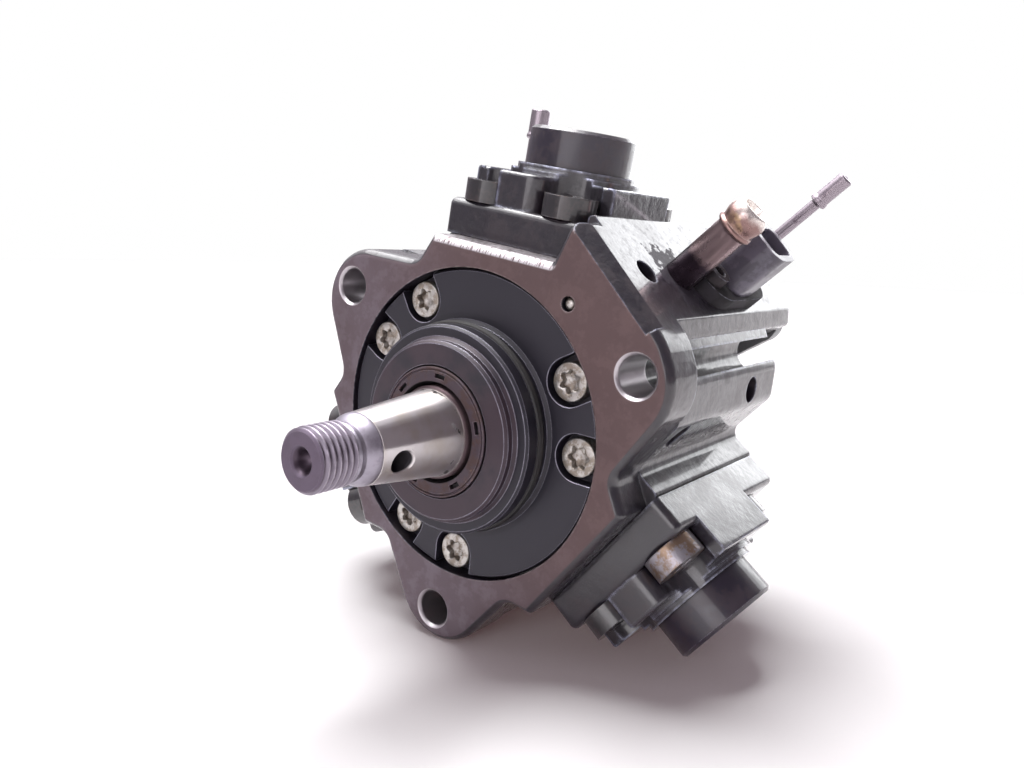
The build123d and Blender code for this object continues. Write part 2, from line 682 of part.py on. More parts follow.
for side, plane in head_planes.items():
    with BuildPart() as head_plug:
        add(turned_about(plane, [
            (plug_room_r, plug_seat + 0.2), (plug_shank_r, plug_seat + 0.2), (plug_shank_r, collar_top),
            (nose_r, collar_top), (nose_r, nose_end - seat_distance - 0.8),
            (nose_r - 0.8, nose_end - seat_distance), (0, nose_end - seat_distance),
            (0, plug_room_top), (plug_room_r, plug_room_top),
        ]))
        with BuildSketch(plane.offset(nose_end - seat_distance)):
            RegularPolygon(7.0, 6)
        extrude(amount=-5.0, mode=Mode.SUBTRACT)
    save(head_plug.part, f"head_plug_{side}")

    with BuildPart() as plunger:
        low = foot_rest + foot_thickness - seat_distance
        add(turned_about(plane, [
            (0, low), (plunger_r, low), (plunger_r, plunger_top - 0.3), (plunger_r - 0.3, plunger_top),
            (0, plunger_top),
        ]))
    save(plunger.part, f"plunger_{side}")

    with BuildPart() as foot_plate:
        add(turned_about(plane, [
            (0, low - foot_thickness), (foot_r - 0.5, low - foot_thickness), (foot_r, low - foot_thickness + 0.5),
            (foot_r, low), (spring_r - 1.2, low), (spring_r - 1.2, low + 1.4), (plunger_r, low + 1.4),
            (plunger_r, low), (0, low),
        ]))
    save(foot_plate.part, f"foot_plate_{side}")

    with BuildPart() as plunger_spring:
        with BuildLine():
            wire = Helix(
                (spring_high - spring_low) / spring_turns, spring_high - spring_low, spring_r,
                center=plane.origin + plane.z_dir * spring_low, direction=plane.z_dir,
            )
        with BuildSketch(Plane(origin=wire @ 0, z_dir=wire % 0)):
            RegularPolygon(spring_wire_r, 6)
        sweep(path=wire, is_frenet=True)
    save(plunger_spring.part, f"plunger_spring_{side}")

    with BuildPart() as inlet_valve:
        add(turned_about(plane, [
            (0, valve_low), (valve_r, valve_low), (valve_r, valve_low + valve_thickness),
            (0, valve_low + valve_thickness),
        ]))
    save(inlet_valve.part, f"inlet_valve_{side}")

    with BuildPart() as inlet_valve_spring:
        add(turned_about(plane, [
            (small_spring[0], valve_low + valve_thickness), (small_spring[1], valve_low + valve_thickness),
            (small_spring[1], plug_room_top), (small_spring[0], plug_room_top),
        ]))
    save(inlet_valve_spring.part, f"inlet_valve_spring_{side}")

    outlet = Plane(origin=plane.origin + plane.z_dir * outlet_height, x_dir=plane.x_dir, z_dir=(0, 1, 0))
    with BuildPart() as outlet_ball:
        with BuildSketch(Plane(origin=outlet.origin, x_dir=outlet.x_dir, z_dir=-outlet.y_dir)):
            with BuildLine():
                CenterArc((0, ball_at + ball_r), ball_r, -90, 180)
                Line((0, ball_at + 2 * ball_r), (0, ball_at))
            make_face()
        revolve(axis=Axis(outlet.origin, outlet.z_dir))
    save(outlet_ball.part, f"outlet_ball_{side}")

    spring_seat = ball_at + ball_r + sqrt(ball_r**2 - outlet_spring[0]**2) + 0.05
    with BuildPart() as outlet_valve_spring:
        add(turned_about(outlet, [
            (outlet_spring[0], spring_seat), (outlet_spring[1], spring_seat),
            (outlet_spring[1], outlet_plug_at), (outlet_spring[0], outlet_plug_at),
        ]))
    save(outlet_valve_spring.part, f"outlet_valve_spring_{side}")

    with BuildPart() as outlet_plug:
        with BuildSketch(outlet.offset(outlet_plug_at)):
            Circle(3.2)
        extrude(amount=rear_reach - outlet_plug_at - 1.5)
        with BuildSketch(outlet.offset(rear_reach - 1.5)):
            RegularPolygon(1.5, 6)
        extrude(amount=-2.5, mode=Mode.SUBTRACT)
    outlet_plug_sets.append(outlet_plug.part)

    with BuildPart() as head_bolt_set:
        with BuildSketch(plane.offset(-bolt_depth)):
            with GridLocations(2 * bolt_x, 2 * bolt_y, 2, 2):
                Circle(bolt_shank_r)
        extrude(amount=bolt_depth + bolt_seat)
        with BuildSketch(plane.offset(bolt_seat - 0.5)):
            with GridLocations(2 * bolt_x, 2 * bolt_y, 2, 2):
                Circle(bolt_head_r)
        extrude(amount=bolt_head_height)
        with BuildSketch(plane.offset(bolt_seat - 0.5 + bolt_head_height)):
            with GridLocations(2 * bolt_x, 2 * bolt_y, 2, 2):
                RegularPolygon(3.0, 6)
        extrude(amount=-3.0, mode=Mode.SUBTRACT)
    head_bolt_sets.append(head_bolt_set.part)

    with BuildPart() as head_ring:
        with BuildSketch(Plane(origin=plane.origin, x_dir=plane.x_dir, z_dir=-plane.y_dir)):
            with Locations((register_r - 0.56, -1.4)):
                RegularPolygon(0.5, 8)
        revolve(axis=Axis(plane.origin, plane.z_dir))
    head_ring_sets.append(head_ring.part)

save(Compound(children=head_bolt_sets), "head_bolts")
save(Compound(children=head_ring_sets), "head_o_rings")
save(Compound(children=outlet_plug_sets), "outlet_plugs")
print("head parts")

# ---------------------------------------------------------------- gear feed pump behind the housing
pitch_r = gear_module * gear_teeth / 2
gear_tip_r = pitch_r + 0.8 * gear_module
gear_root_r = pitch_r - 1.05 * gear_module
gear_spacing = 2 * pitch_r
gear_front = body_depth + gear_wall
gear_back = gear_front + gear_width + 2 * gear_end_gap
cover_plate = cover_thickness - 1.5
cover_back = gear_back + cover_plate
driven_at = (0, -gear_spacing)
pump_wall = 7.5
pin_r = 5.0
hub_r = 6.0
shoulder_screw = slope_point(*arm_screw_at)


def tooth_flank():
    """Points of one involute flank from the root to the tip, as (radius, half angle of the tooth)."""
    base_r = pitch_r * cos(radians(gear_pressure_angle))

    def involute(radius):
        pressure = acos(min(1.0, base_r / radius))
        return tan(pressure) - pressure

    pitch_half = pi / (2 * gear_teeth) - gear_backlash / (4 * pitch_r)
    foot = involute(pitch_r) + pitch_half
    steps = [base_r + (gear_tip_r - base_r) * k / 3 for k in range(4)]
    return [(gear_root_r, foot)] + [(radius, foot - involute(radius)) for radius in steps]


def spur_gear(centre, phase, bore_r):
    flank = tooth_flank()
    with BuildPart() as gear:
        with BuildSketch(front(gear_front + gear_end_gap)):
            with Locations(centre):
                Circle(gear_root_r)
                for tooth in range(gear_teeth):
                    turn = radians(phase + 360 / gear_teeth * tooth)
                    up = [(r * cos(turn - h), r * sin(turn - h)) for r, h in flank]
                    down = [(r * cos(turn + h), r * sin(turn + h)) for r, h in reversed(flank)]
                    Polygon(*[(0, 0), *up, *down], align=None)
                if bore_r:
                    Circle(bore_r, mode=Mode.SUBTRACT)
        extrude(amount=-gear_width)
    return gear.part


with BuildPart() as drive_gear:
    add(spur_gear((0, 0), 270, 0))
    with BuildSketch(front(gear_back - gear_end_gap)):
        Circle(hub_r)
    extrude(amount=-3.5)
    with BuildSketch(front(gear_front)):
        Rectangle(tang_width + 0.1, tang_height + 0.1)
    extrude(amount=-6.2, mode=Mode.SUBTRACT)
save(drive_gear.part, "drive_gear")

with BuildPart() as driven_gear:
    add(spur_gear(driven_at, 90 + 180 / gear_teeth, pin_r + running_clearance))
save(driven_gear.part, "driven_gear")

with BuildPart() as drive_coupling:
    with BuildSketch(front(tang_front + 0.1)):
        Rectangle(tang_width, tang_height)
    extrude(amount=-(gear_front + 6.0 - tang_front - 0.1))
save(drive_coupling.part, "drive_coupling")


def gear_pump_plan():
    """Outline of the gear pump: a band round both gears, with a lug at each screw."""
    with BuildSketch(front(0), mode=Mode.PRIVATE) as plan:
        with Locations((0, -gear_spacing / 2)):
            SlotOverall(gear_spacing + 2 * (gear_tip_r + pump_wall), 2 * (gear_tip_r + pump_wall), rotation=90)
        with Locations(*gear_screws):
            Circle(6.0)
    return plan.sketch


with BuildPart() as gear_pump_housing:
    with BuildSketch(front(body_depth)):
        add(gear_pump_plan())
    extrude(amount=-(gear_back - body_depth))
    with BuildSketch(front(gear_front)):
        Circle(gear_tip_r + 0.1)
        with Locations(driven_at):
            Circle(gear_tip_r + 0.1)
    extrude(amount=-(gear_back - gear_front), mode=Mode.SUBTRACT)
    with BuildSketch(front(body_depth)):
        Circle(7.2)
        with Locations(*gear_screws):
            Circle(gear_screw_r + 0.15)
    extrude(amount=-(gear_back - body_depth), mode=Mode.SUBTRACT)
    with BuildSketch(front(gear_front)):
        with Locations(driven_at):
            Circle(pin_r)
    extrude(amount=-(gear_back - gear_front))
    # suction port, from the right side into the mesh
    with BuildSketch(Plane(origin=(pitch_r, (gear_front + gear_back) / 2, -pitch_r), x_dir=(0, 1, 0), z_dir=(1, 0, 0))):
        Circle(2.6)
    extrude(amount=15, mode=Mode.SUBTRACT)
save(gear_pump_housing.part, "gear_pump_housing")

with BuildPart() as gear_pump_cover:
    with BuildSketch(front(gear_back)) as cover_plan:
        add(gear_pump_plan())
        with Locations(shoulder_screw):
            Circle(6.0)
        with BuildLine():
            Polyline((18, 8), (shoulder_screw[0] + 3.0, shoulder_screw[1] - 5.2),
                     (shoulder_screw[0] - 3.0, shoulder_screw[1] + 5.2), (6, 19), close=True)
        make_face()
    extrude(amount=-cover_plate)
    with BuildSketch(front(gear_back)):
        with Locations((0, -gear_spacing / 2)):
            SlotOverall(gear_spacing + 2 * gear_tip_r, 2 * gear_tip_r, rotation=90)
    extrude(amount=-cover_thickness)
    with BuildSketch(front(gear_back)):
        with Locations(*gear_screws, shoulder_screw):
            Circle(gear_screw_r + 0.15)
    extrude(amount=-cover_thickness, mode=Mode.SUBTRACT)
    with BuildSketch(front(gear_back)):
        Circle(hub_r + running_clearance)
    extrude(amount=-4.0, mode=Mode.SUBTRACT)
save(gear_pump_cover.part, "gear_pump_cover")

with BuildPart() as gear_pump_screws:
    for spot in [*gear_screws, shoulder_screw]:
        with BuildSketch(front(cover_back)):
            with Locations(spot):
                Circle(4.4)
        extrude(amount=-4.0)
        with BuildSketch(front(cover_back + 4.0)):
            with Locations(spot):
                RegularPolygon(2.4, 6)
        extrude(amount=2.2, mode=Mode.SUBTRACT)
        with BuildSketch(front(cover_back)):
            with Locations(spot):
                Circle(gear_screw_r)
        extrude(amount=cover_plate + gear_screw_depth + (0 if spot == shoulder_screw else gear_back - body_depth))
save(gear_pump_screws.part, "gear_pump_screws")
print("gear pump")

# ---------------------------------------------------------------- metering unit on the inlet shoulder
metering_plane = radial(slope_angle, slope_distance, metering_at[1], metering_at[0])
metering_flange = 3.6
connector_length = 13.4
connector_size = (13.5, 12.0)       # along the pump's depth, and along the slope
connector_wall = 1.8
socket_depth = 10.0
piston_r = 3.4
piston_length = 8.0
piston_travel = 2.5

with BuildPart() as metering_unit:
    with BuildSketch(metering_plane) as flange_plan:
        SlotOverall(2 * metering_screw_at + 7.2, 14.0, rotation=90)
    extrude(amount=metering_flange)
    with BuildSketch(metering_plane):
        Circle(metering_bore_r - 0.1)
    extrude(amount=-metering_depth)
    with BuildSketch(metering_plane.offset(-metering_depth)):
        Circle(piston_r + running_clearance)
    extrude(amount=metering_depth - 1.0, mode=Mode.SUBTRACT)
    with BuildSketch(metering_plane):
        with Locations((0, metering_screw_at), (0, -metering_screw_at)):
            Circle(metering_screw_r + 0.15)
    extrude(amount=metering_flange, mode=Mode.SUBTRACT)
save(metering_unit.part, "metering_unit")

with BuildPart() as metering_connector:
    mouth = metering_flange + connector_length
    with BuildSketch(metering_plane.offset(metering_flange)):
        RectangleRounded(connector_size[1], connector_size[0], 4.5)
    extrude(amount=connector_length)
    with BuildSketch(metering_plane.offset(mouth - socket_depth)):
        RectangleRounded(connector_size[1] - 2 * connector_wall, connector_size[0] - 2 * connector_wall, 2.0)
    extrude(amount=socket_depth, mode=Mode.SUBTRACT)
    with BuildSketch(metering_plane.offset(mouth - socket_depth)):
        with Locations((0, 3.0), (0, -3.0)):
            Rectangle(2.2, 0.7)
    extrude(amount=3.0)
save(metering_connector.part, "metering_connector")

with BuildPart() as metering_piston:
    add(turned_about(metering_plane, [
        (0, -metering_depth + 0.4), (piston_r, -metering_depth + 0.4),
        (piston_r, -metering_depth + 0.4 + piston_length), (0, -metering_depth + 0.4 + piston_length),
    ]))
save(metering_piston.part, "metering_piston")

with BuildPart() as metering_spring:
    add(turned_about(metering_plane, [
        (1.6, -metering_depth + 0.4 + piston_length), (2.4, -metering_depth + 0.4 + piston_length),
        (2.4, -1.0), (1.6, -1.0),
    ]))
save(metering_spring.part, "metering_spring")

with BuildPart() as metering_screws:
    for side_of_flange in (1, -1):
        with BuildSketch(metering_plane.offset(metering_flange)):
            with Locations((0, side_of_flange * metering_screw_at)):
                Circle(3.2)
        extrude(amount=2.6)
        with BuildSketch(metering_plane.offset(metering_flange)):
            with Locations((0, side_of_flange * metering_screw_at)):
                Circle(metering_screw_r)
        extrude(amount=-metering_flange - metering_screw_depth)
        with BuildSketch(metering_plane.offset(metering_flange + 2.6)):
            with Locations((0, side_of_flange * metering_screw_at)):
                RegularPolygon(1.9, 6)
        extrude(amount=-1.4, mode=Mode.SUBTRACT)
save(metering_screws.part, "metering_screws")
print("metering unit")

# ---------------------------------------------------------------- fuel fittings
inlet_plane = radial(slope_angle, slope_distance, inlet_at[1], inlet_at[0])
inlet_length = 23.2
bead_at = 16.6
bead_width = 2.8
bead_rise = 0.9

with BuildPart() as inlet_pipe:
    add(turned_about(inlet_plane, [
        (inlet_r - inlet_wall, -port_depth), (inlet_r, -port_depth), (inlet_r, bead_at),
        (inlet_r + bead_rise, bead_at + 0.4 * bead_width), (inlet_r + bead_rise, bead_at + 0.6 * bead_width),
        (inlet_tip_r, bead_at + bead_width), (inlet_tip_r, inlet_length - 0.4),
        (inlet_tip_r - 0.4, inlet_length), (inlet_r - inlet_wall, inlet_length),
    ]))
save(inlet_pipe.part, "inlet_pipe")


def hose_nipple(plane, shank_r, shank_end, tip_r, length, name):
    """Thin drawn tube whose end is swelled to hold a hose."""
    bore_r = shank_r - 0.7
    with BuildPart() as nipple:
        add(turned_about(plane, [
            (bore_r, -port_depth), (shank_r, -port_depth), (shank_r, shank_end), (tip_r + 0.3, shank_end + 0.5),
            (tip_r + 0.3, shank_end + 1.3), (tip_r, shank_end + 2.0), (tip_r, length - 0.4),
            (tip_r - 0.4, length), (bore_r, length),
        ]))
    save(nipple.part, name)


return_plane = radial(slope_angle, slope_distance, return_at[1], return_at[0])
hose_nipple(return_plane, return_r, 24.3, return_tip_r, 34.0, "return_nipple")
bleed_plane = Plane(origin=(*bleed_at, bleed_boss_top))
hose_nipple(bleed_plane, bleed_r, 26.0, bleed_tip_r, bleed_top - bleed_boss_top, "bleed_nipple")

rail_plane = Plane(origin=(polar(rail_port_at, 150)[0], body_depth, polar(rail_port_at, 150)[1]),
                   x_dir=(1, 0, 0), z_dir=(0, 1, 0))
with BuildPart() as rail_outlet:
    add(turned_about(rail_plane, [
        (1.5, -12), (rail_port_r, -12), (rail_port_r, 0), (6.6, 0), (6.6, 6), (6.0, 6.5), (6.0, 15.2),
        (5.2, 16), (3.6, 16), (1.5, 12.5),
    ]))
    with BuildSketch(rail_plane):
        RegularPolygon(8.1, 6)
        Circle(5.5, mode=Mode.SUBTRACT)
    extrude(amount=5.5)
save(rail_outlet.part, "rail_outlet")

# ---------------------------------------------------------------- overflow valve in the rear of the right lobe
overflow_plane = Plane(origin=(polar(overflow_at, overflow_angle)[0], body_depth, polar(overflow_at, overflow_angle)[1]),
                       x_dir=(1, 0, 0), z_dir=(0, 1, 0))
overflow_travel = 2.0
overflow_piston_end = -overflow_bore_depth + 6.5
with BuildPart() as overflow_piston:
    add(turned_about(overflow_plane, [
        (0, -overflow_bore_depth + 0.2), (overflow_bore_r - running_clearance, -overflow_bore_depth + 0.2),
        (overflow_bore_r - running_clearance, overflow_piston_end), (0, overflow_piston_end),
    ]))
save(overflow_piston.part, "overflow_piston")
with BuildPart() as overflow_spring:
    add(turned_about(overflow_plane, [
        (2.0, overflow_piston_end), (2.8, overflow_piston_end), (2.8, -5.0), (2.0, -5.0),
    ]))
save(overflow_spring.part, "overflow_spring")
with BuildPart() as overflow_plug:
    add(turned_about(overflow_plane, [
        (0, -5.0), (overflow_bore_r, -5.0), (overflow_bore_r, 0), (5.4, 0), (5.4, 2.6), (5.0, 3.0), (0, 3.0),
    ]))
    with BuildSketch(overflow_plane.offset(3.0)):
        RegularPolygon(2.9, 6)
    extrude(amount=-2.5, mode=Mode.SUBTRACT)
save(overflow_plug.part, "overflow_plug")
print("fittings")
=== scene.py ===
import json
import math

import bmesh
import bpy
import numpy as np
from mathutils import Matrix, Vector


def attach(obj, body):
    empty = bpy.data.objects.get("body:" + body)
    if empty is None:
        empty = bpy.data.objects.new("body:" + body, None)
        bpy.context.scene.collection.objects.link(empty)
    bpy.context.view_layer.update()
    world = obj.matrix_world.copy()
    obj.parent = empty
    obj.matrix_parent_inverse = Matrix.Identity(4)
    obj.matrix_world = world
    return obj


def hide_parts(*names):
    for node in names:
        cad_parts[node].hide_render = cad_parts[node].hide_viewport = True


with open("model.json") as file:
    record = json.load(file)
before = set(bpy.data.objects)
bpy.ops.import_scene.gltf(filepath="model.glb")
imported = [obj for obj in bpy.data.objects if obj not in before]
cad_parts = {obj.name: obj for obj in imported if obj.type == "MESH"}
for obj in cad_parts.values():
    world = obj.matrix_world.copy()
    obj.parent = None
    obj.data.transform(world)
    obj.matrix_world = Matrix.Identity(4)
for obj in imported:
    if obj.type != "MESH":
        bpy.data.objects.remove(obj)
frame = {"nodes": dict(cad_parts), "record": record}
nodes = frame["nodes"]
scene = bpy.context.scene
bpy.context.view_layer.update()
mm = 0.001


def gridMesh(name, points):
    # points[i, j] is the surface at station i and angle j; quads join neighbours, and angle wraps round.
    rows, columns = points.shape[:2]
    i, j = np.meshgrid(np.arange(rows - 1), np.arange(columns), indexing="ij")
    nextJ = (j + 1) % columns
    here, after = i * columns, (i + 1) * columns
    faces = np.stack([here + j, here + nextJ, after + nextJ, after + j], -1)
    mesh = bpy.data.meshes.new(name)
    mesh.from_pydata(points.reshape(-1, 3).tolist(), [], faces.reshape(-1, 4).tolist())
    return mesh


def closeMesh(mesh, smoothAngle=30):
    # Merges the poles, closes what is open, turns the faces outwards and keeps sharp edges sharp.
    work = bmesh.new()
    work.from_mesh(mesh)
    bmesh.ops.remove_doubles(work, verts=work.verts, dist=1e-6)
    bmesh.ops.dissolve_degenerate(work, edges=work.edges, dist=1e-7)
    openEdges = [edge for edge in work.edges if edge.is_boundary]
    if openEdges:
        bmesh.ops.holes_fill(work, edges=openEdges, sides=0)
    bmesh.ops.recalc_face_normals(work, faces=work.faces)
    for face in work.faces:
        face.smooth = True
    for edge in work.edges:
        edge.smooth = len(edge.link_faces) == 2 and edge.calc_face_angle(0) < math.radians(smoothAngle)
    work.to_mesh(mesh)
    work.free()
    return mesh


def combine(name, mesh, otherMesh, operation):
    # Two closed meshes joined, or the first less the second.
    target = bpy.data.objects.new(name + "Blank", mesh)
    other = bpy.data.objects.new(name + "Other", otherMesh)
    scene.collection.objects.link(target)
    scene.collection.objects.link(other)
    modifier = target.modifiers.new("combine", "BOOLEAN")
    modifier.object = other
    modifier.operation = operation
    modifier.solver = "EXACT"
    made = bpy.data.meshes.new_from_object(target.evaluated_get(bpy.context.evaluated_depsgraph_get()))
    made.name = name
    bpy.data.objects.remove(target)
    bpy.data.objects.remove(other)
    return closeMesh(made)


def copyNode(node, name, cutAt=None):
    # A copy of a node's mesh, merged and closed, less what is in front of the plane y = cutAt if one is given.
    mesh = nodes[node].data.copy()
    mesh.name = name
    work = bmesh.new()
    work.from_mesh(mesh)
    bmesh.ops.remove_doubles(work, verts=work.verts, dist=1e-6)
    if cutAt is not None:
        everything = work.verts[:] + work.edges[:] + work.faces[:]
        bmesh.ops.bisect_plane(work, geom=everything, plane_co=(0, cutAt, 0), plane_no=(0, -1, 0),
                               clear_outer=True)
    work.to_mesh(mesh)
    work.free()
    return closeMesh(mesh)


def outwardAt(angle):
    # The direction away from the shaft's axis at an angle in degrees, 0 along X and 90 along Z.
    turn = math.radians(angle)
    return np.array([math.cos(turn), 0.0, math.sin(turn)])


def addPiece(name, mesh, body, slotName, material, *stoodFor):
    piece = bpy.data.objects.new(name, mesh)
    scene.collection.objects.link(piece)
    mesh.materials.clear()
    mesh.materials.append(material)
    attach(piece, body)
    if stoodFor:
        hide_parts(*stoodFor)


def feed(tree, node, inputs):
    # Gives each input its value, or links it where the value is another node's socket.
    for key, value in inputs.items():
        if isinstance(value, bpy.types.NodeSocket):
            tree.links.new(value, node.inputs[key])
        else:
            node.inputs[key].default_value = value


def wire(tree, kind, inputs=None, **settings):
    node = tree.nodes.new(kind)
    for key, value in settings.items():
        setattr(node, key, value)
    feed(tree, node, inputs or {})
    return node


def calc(tree, operation, a, b=0.0, c=0.0):
    return wire(tree, "ShaderNodeMath", {0: a, 1: b, 2: c}, operation=operation).outputs[0]


def product(tree, first, *others):
    for other in others:
        first = calc(tree, "MULTIPLY", first, other)
    return first


def largest(tree, first, *others):
    for other in others:
        first = calc(tree, "MAXIMUM", first, other)
    return first


def vectorCalc(tree, operation, a, b):
    # A number for a distance or a dot product, and a vector for the others.
    result = "Value" if operation in ("DISTANCE", "DOT_PRODUCT") else "Vector"
    return wire(tree, "ShaderNodeVectorMath", {0: a, 1: b}, operation=operation).outputs[result]


def mixColour(tree, factor, a, b):
    return wire(tree, "ShaderNodeMix", {0: factor, 6: a, 7: b}, data_type="RGBA").outputs[2]


def mixValue(tree, factor, a, b):
    return wire(tree, "ShaderNodeMix", {0: factor, 2: a, 3: b}, data_type="FLOAT").outputs[0]


def band(tree, value, low, high):
    # 0 below low, 1 above high, smooth between; low may be above high to turn it round.
    inputs = {0: value, 1: low, 2: high}
    return wire(tree, "ShaderNodeMapRange", inputs, interpolation_type="SMOOTHSTEP").outputs[0]


def place(tree):
    return wire(tree, "ShaderNodeTexCoord").outputs["Object"]


def split(tree, vector):
    return wire(tree, "ShaderNodeSeparateXYZ", {0: vector}).outputs


def fromAxis(tree, where):
    # Distance from the shaft's axis, which is the Y axis.
    squares = calc(tree, "ADD", product(tree, where[0], where[0]), product(tree, where[2], where[2]))
    return calc(tree, "SQRT", squares)


def noise(tree, scale, detail=3.0, roughness=0.5, vector=None):
    inputs = {"Vector": place(tree) if vector is None else vector}
    inputs.update({"Scale": scale, "Detail": detail, "Roughness": roughness})
    return wire(tree, "ShaderNodeTexNoise", inputs).outputs[0]


def bump(tree, height, normal=None):
    inputs = {"Height": height, "Strength": 1.0, "Distance": 1.0}
    if normal is not None:
        inputs["Normal"] = normal
    return wire(tree, "ShaderNodeBump", inputs).outputs[0]


def colour(red, green, blue):
    # A colour as it is seen on a screen, 0 to 255, made linear.
    seen = np.array([red, green, blue]) / 255
    linear = np.where(seen <= 0.04045, seen / 12.92, ((seen + 0.055) / 1.055) ** 2.4)
    return (*linear.tolist(), 1.0)


def startGroup(name, inputs, outputs):
    # Inputs are numbers with their defaults, and outputs are numbers too, but for a Normal.
    tree = bpy.data.node_groups.new(name, "ShaderNodeTree")
    for label, value in inputs.items():
        socket = tree.interface.new_socket(label, in_out="INPUT", socket_type="NodeSocketFloat")
        socket.default_value = value
    for label in outputs:
        kind = "NodeSocketVector" if label == "Normal" else "NodeSocketFloat"
        tree.interface.new_socket(label, in_out="OUTPUT", socket_type=kind)
    return tree, tree.nodes.new("NodeGroupInput").outputs, tree.nodes.new("NodeGroupOutput")


def useGroup(tree, group, inputs):
    return wire(tree, "ShaderNodeGroup", inputs, node_tree=group).outputs


def makeEdges():
    # Rounds the shading at edges, and marks outer edges, for rubbed paint and a painted highlight, and inner
    # corners (Sunk), for dirt and painted shade. Patchy breaks up the outer-edge mark.
    tree, given, result = startGroup("softEdges", {"Radius": 0.0006, "Breakup": 400.0, "Patchy": 1.0},
                                     ("Normal", "WornAndSheen", "Sunk"))
    bevel = wire(tree, "ShaderNodeBevel", {"Radius": given["Radius"]}, samples=6).outputs[0]
    flat = wire(tree, "ShaderNodeNewGeometry").outputs["Normal"]
    bent = band(tree, vectorCalc(tree, "DOT_PRODUCT", bevel, flat), 0.995, 0.86)
    reach = product(tree, given["Radius"], 3.0)
    openness = wire(tree, "ShaderNodeAmbientOcclusion", {"Distance": reach}, samples=6).outputs["AO"]
    patches = band(tree, noise(tree, given["Breakup"], 4.0, 0.6), 0.38, 0.62)
    broken = mixValue(tree, given["Patchy"], 1.0, patches)
    wornAndSheen = product(tree, bent, band(tree, openness, 0.55, 0.85), broken)
    feed(tree, result, {"Normal": bevel, "WornAndSheen": wornAndSheen, "Sunk": band(tree, openness, 0.8, 0.35)})
    return tree


def makeGrain():
    # Sand-cast skin: broad swells, pebbles and fine grit added up as a height in metres.
    tree, given, result = startGroup("castGrain", {"Scale": 500.0, "Depth": 0.0002}, ("Height", "Pits"))
    swell = noise(tree, product(tree, given["Scale"], 0.3), 2.0)
    pebble = noise(tree, given["Scale"], 4.0, 0.6)
    grit = noise(tree, product(tree, given["Scale"], 3.1), 2.0)
    total = calc(tree, "MULTIPLY_ADD", swell, 1.6, calc(tree, "MULTIPLY_ADD", grit, 0.22, pebble))
    height = product(tree, total, given["Depth"])
    feed(tree, result, {"Height": height, "Pits": band(tree, pebble, 0.5, 0.36)})
    return tree


def makeStain():
    # Blotches of two sizes; Cover is the share of the surface that they take.
    tree, given, result = startGroup("stain", {"Scale": 120.0, "Cover": 0.5}, ("Mask",))
    broad = noise(tree, given["Scale"], 5.0, 0.62)
    fine = noise(tree, product(tree, given["Scale"], 4.7), 3.0, 0.6)
    both = calc(tree, "MULTIPLY_ADD", fine, 0.35, broad)
    edge = calc(tree, "SUBTRACT", 1.05, product(tree, given["Cover"], 0.75))
    low = calc(tree, "SUBTRACT", edge, 0.08)
    high = calc(tree, "ADD", edge, 0.08)
    feed(tree, result, {"Mask": band(tree, both, low, high)})
    return tree


def makeTurned():
    # Tool rings round the shaft's axis: fine noise read along the radius and along the axis.
    tree, given, result = startGroup("turnedRings", {"Scale": 3000.0}, ("Height",))
    where = split(tree, place(tree))
    along = wire(tree, "ShaderNodeCombineXYZ", {0: fromAxis(tree, where), 1: where[1], 2: 0.0}).outputs[0]
    feed(tree, result, {"Height": noise(tree, given["Scale"], 2.0, 0.7, along)})
    return tree


softEdges = makeEdges()
castGrain = makeGrain()
stain = makeStain()
turnedRings = makeTurned()
print("shader groups made")


def emptyTree(owner):
    owner.use_nodes = True
    owner.node_tree.nodes.clear()
    return owner.node_tree


def startMaterial(name):
    made = bpy.data.materials.new(name)
    tree = emptyTree(made)
    shader = tree.nodes.new("ShaderNodeBsdfPrincipled")
    wire(tree, "ShaderNodeOutputMaterial", {0: shader.outputs[0]})
    return made, tree, shader


casting = {
    "paint": colour(33, 29, 38),
    "paintBrown": colour(48, 37, 43),
    # pale blue for the outer edges: rubbed paint and a painted highlight
    "edge": colour(205, 208, 235),
    "bare": colour(190, 184, 188),
    # the front face's rust; the left tone is lightened by a painted sheen
    "rustAndSheenLeft": colour(112, 100, 109),
    "rustRight": colour(101, 80, 80),
    "rustDark": colour(84, 66, 68),
    "grime": colour(36, 26, 40),
    # pale rims of the front face: rubbed metal with a painted highlight
    "rustRimAndHighlight": colour(168, 152, 152),
    "grainScale": 520.0,
    "grainDepth": 0.00022,
    "frontBack": 0.0004,
    "holeAngles": (30, 150, 270),
    "holeCircle": 0.05,
    "holeReach": 0.0056,
    "earBack": 0.0127,
    "stripLow": 0.0416,
    "stripBack": 0.0097,
    "stripHalf": 0.0225,
    "markScale": (2600.0, 500.0, 1.0),
    "markDepth": 0.00012,
    "pipeFoot": (0.0347, 0.0282, 0.04396),
    "pipeFootReach": 0.0088,
    "pipeFootWander": 0.02,
}


def paintLayer(tree, look, edges, wornAndSheenAmount):
    # Blotchy paint that is rubbed off along its outer edges, where a pale blue painted highlight lies too.
    blotch = useGroup(tree, stain, {"Scale": 90.0, "Cover": 0.45})["Mask"]
    base = mixColour(tree, product(tree, blotch, 0.55), look["paint"], look["paintBrown"])
    wornAndSheen = product(tree, edges["WornAndSheen"], wornAndSheenAmount)
    return mixColour(tree, wornAndSheen, base, look["edge"]), wornAndSheen, blotch


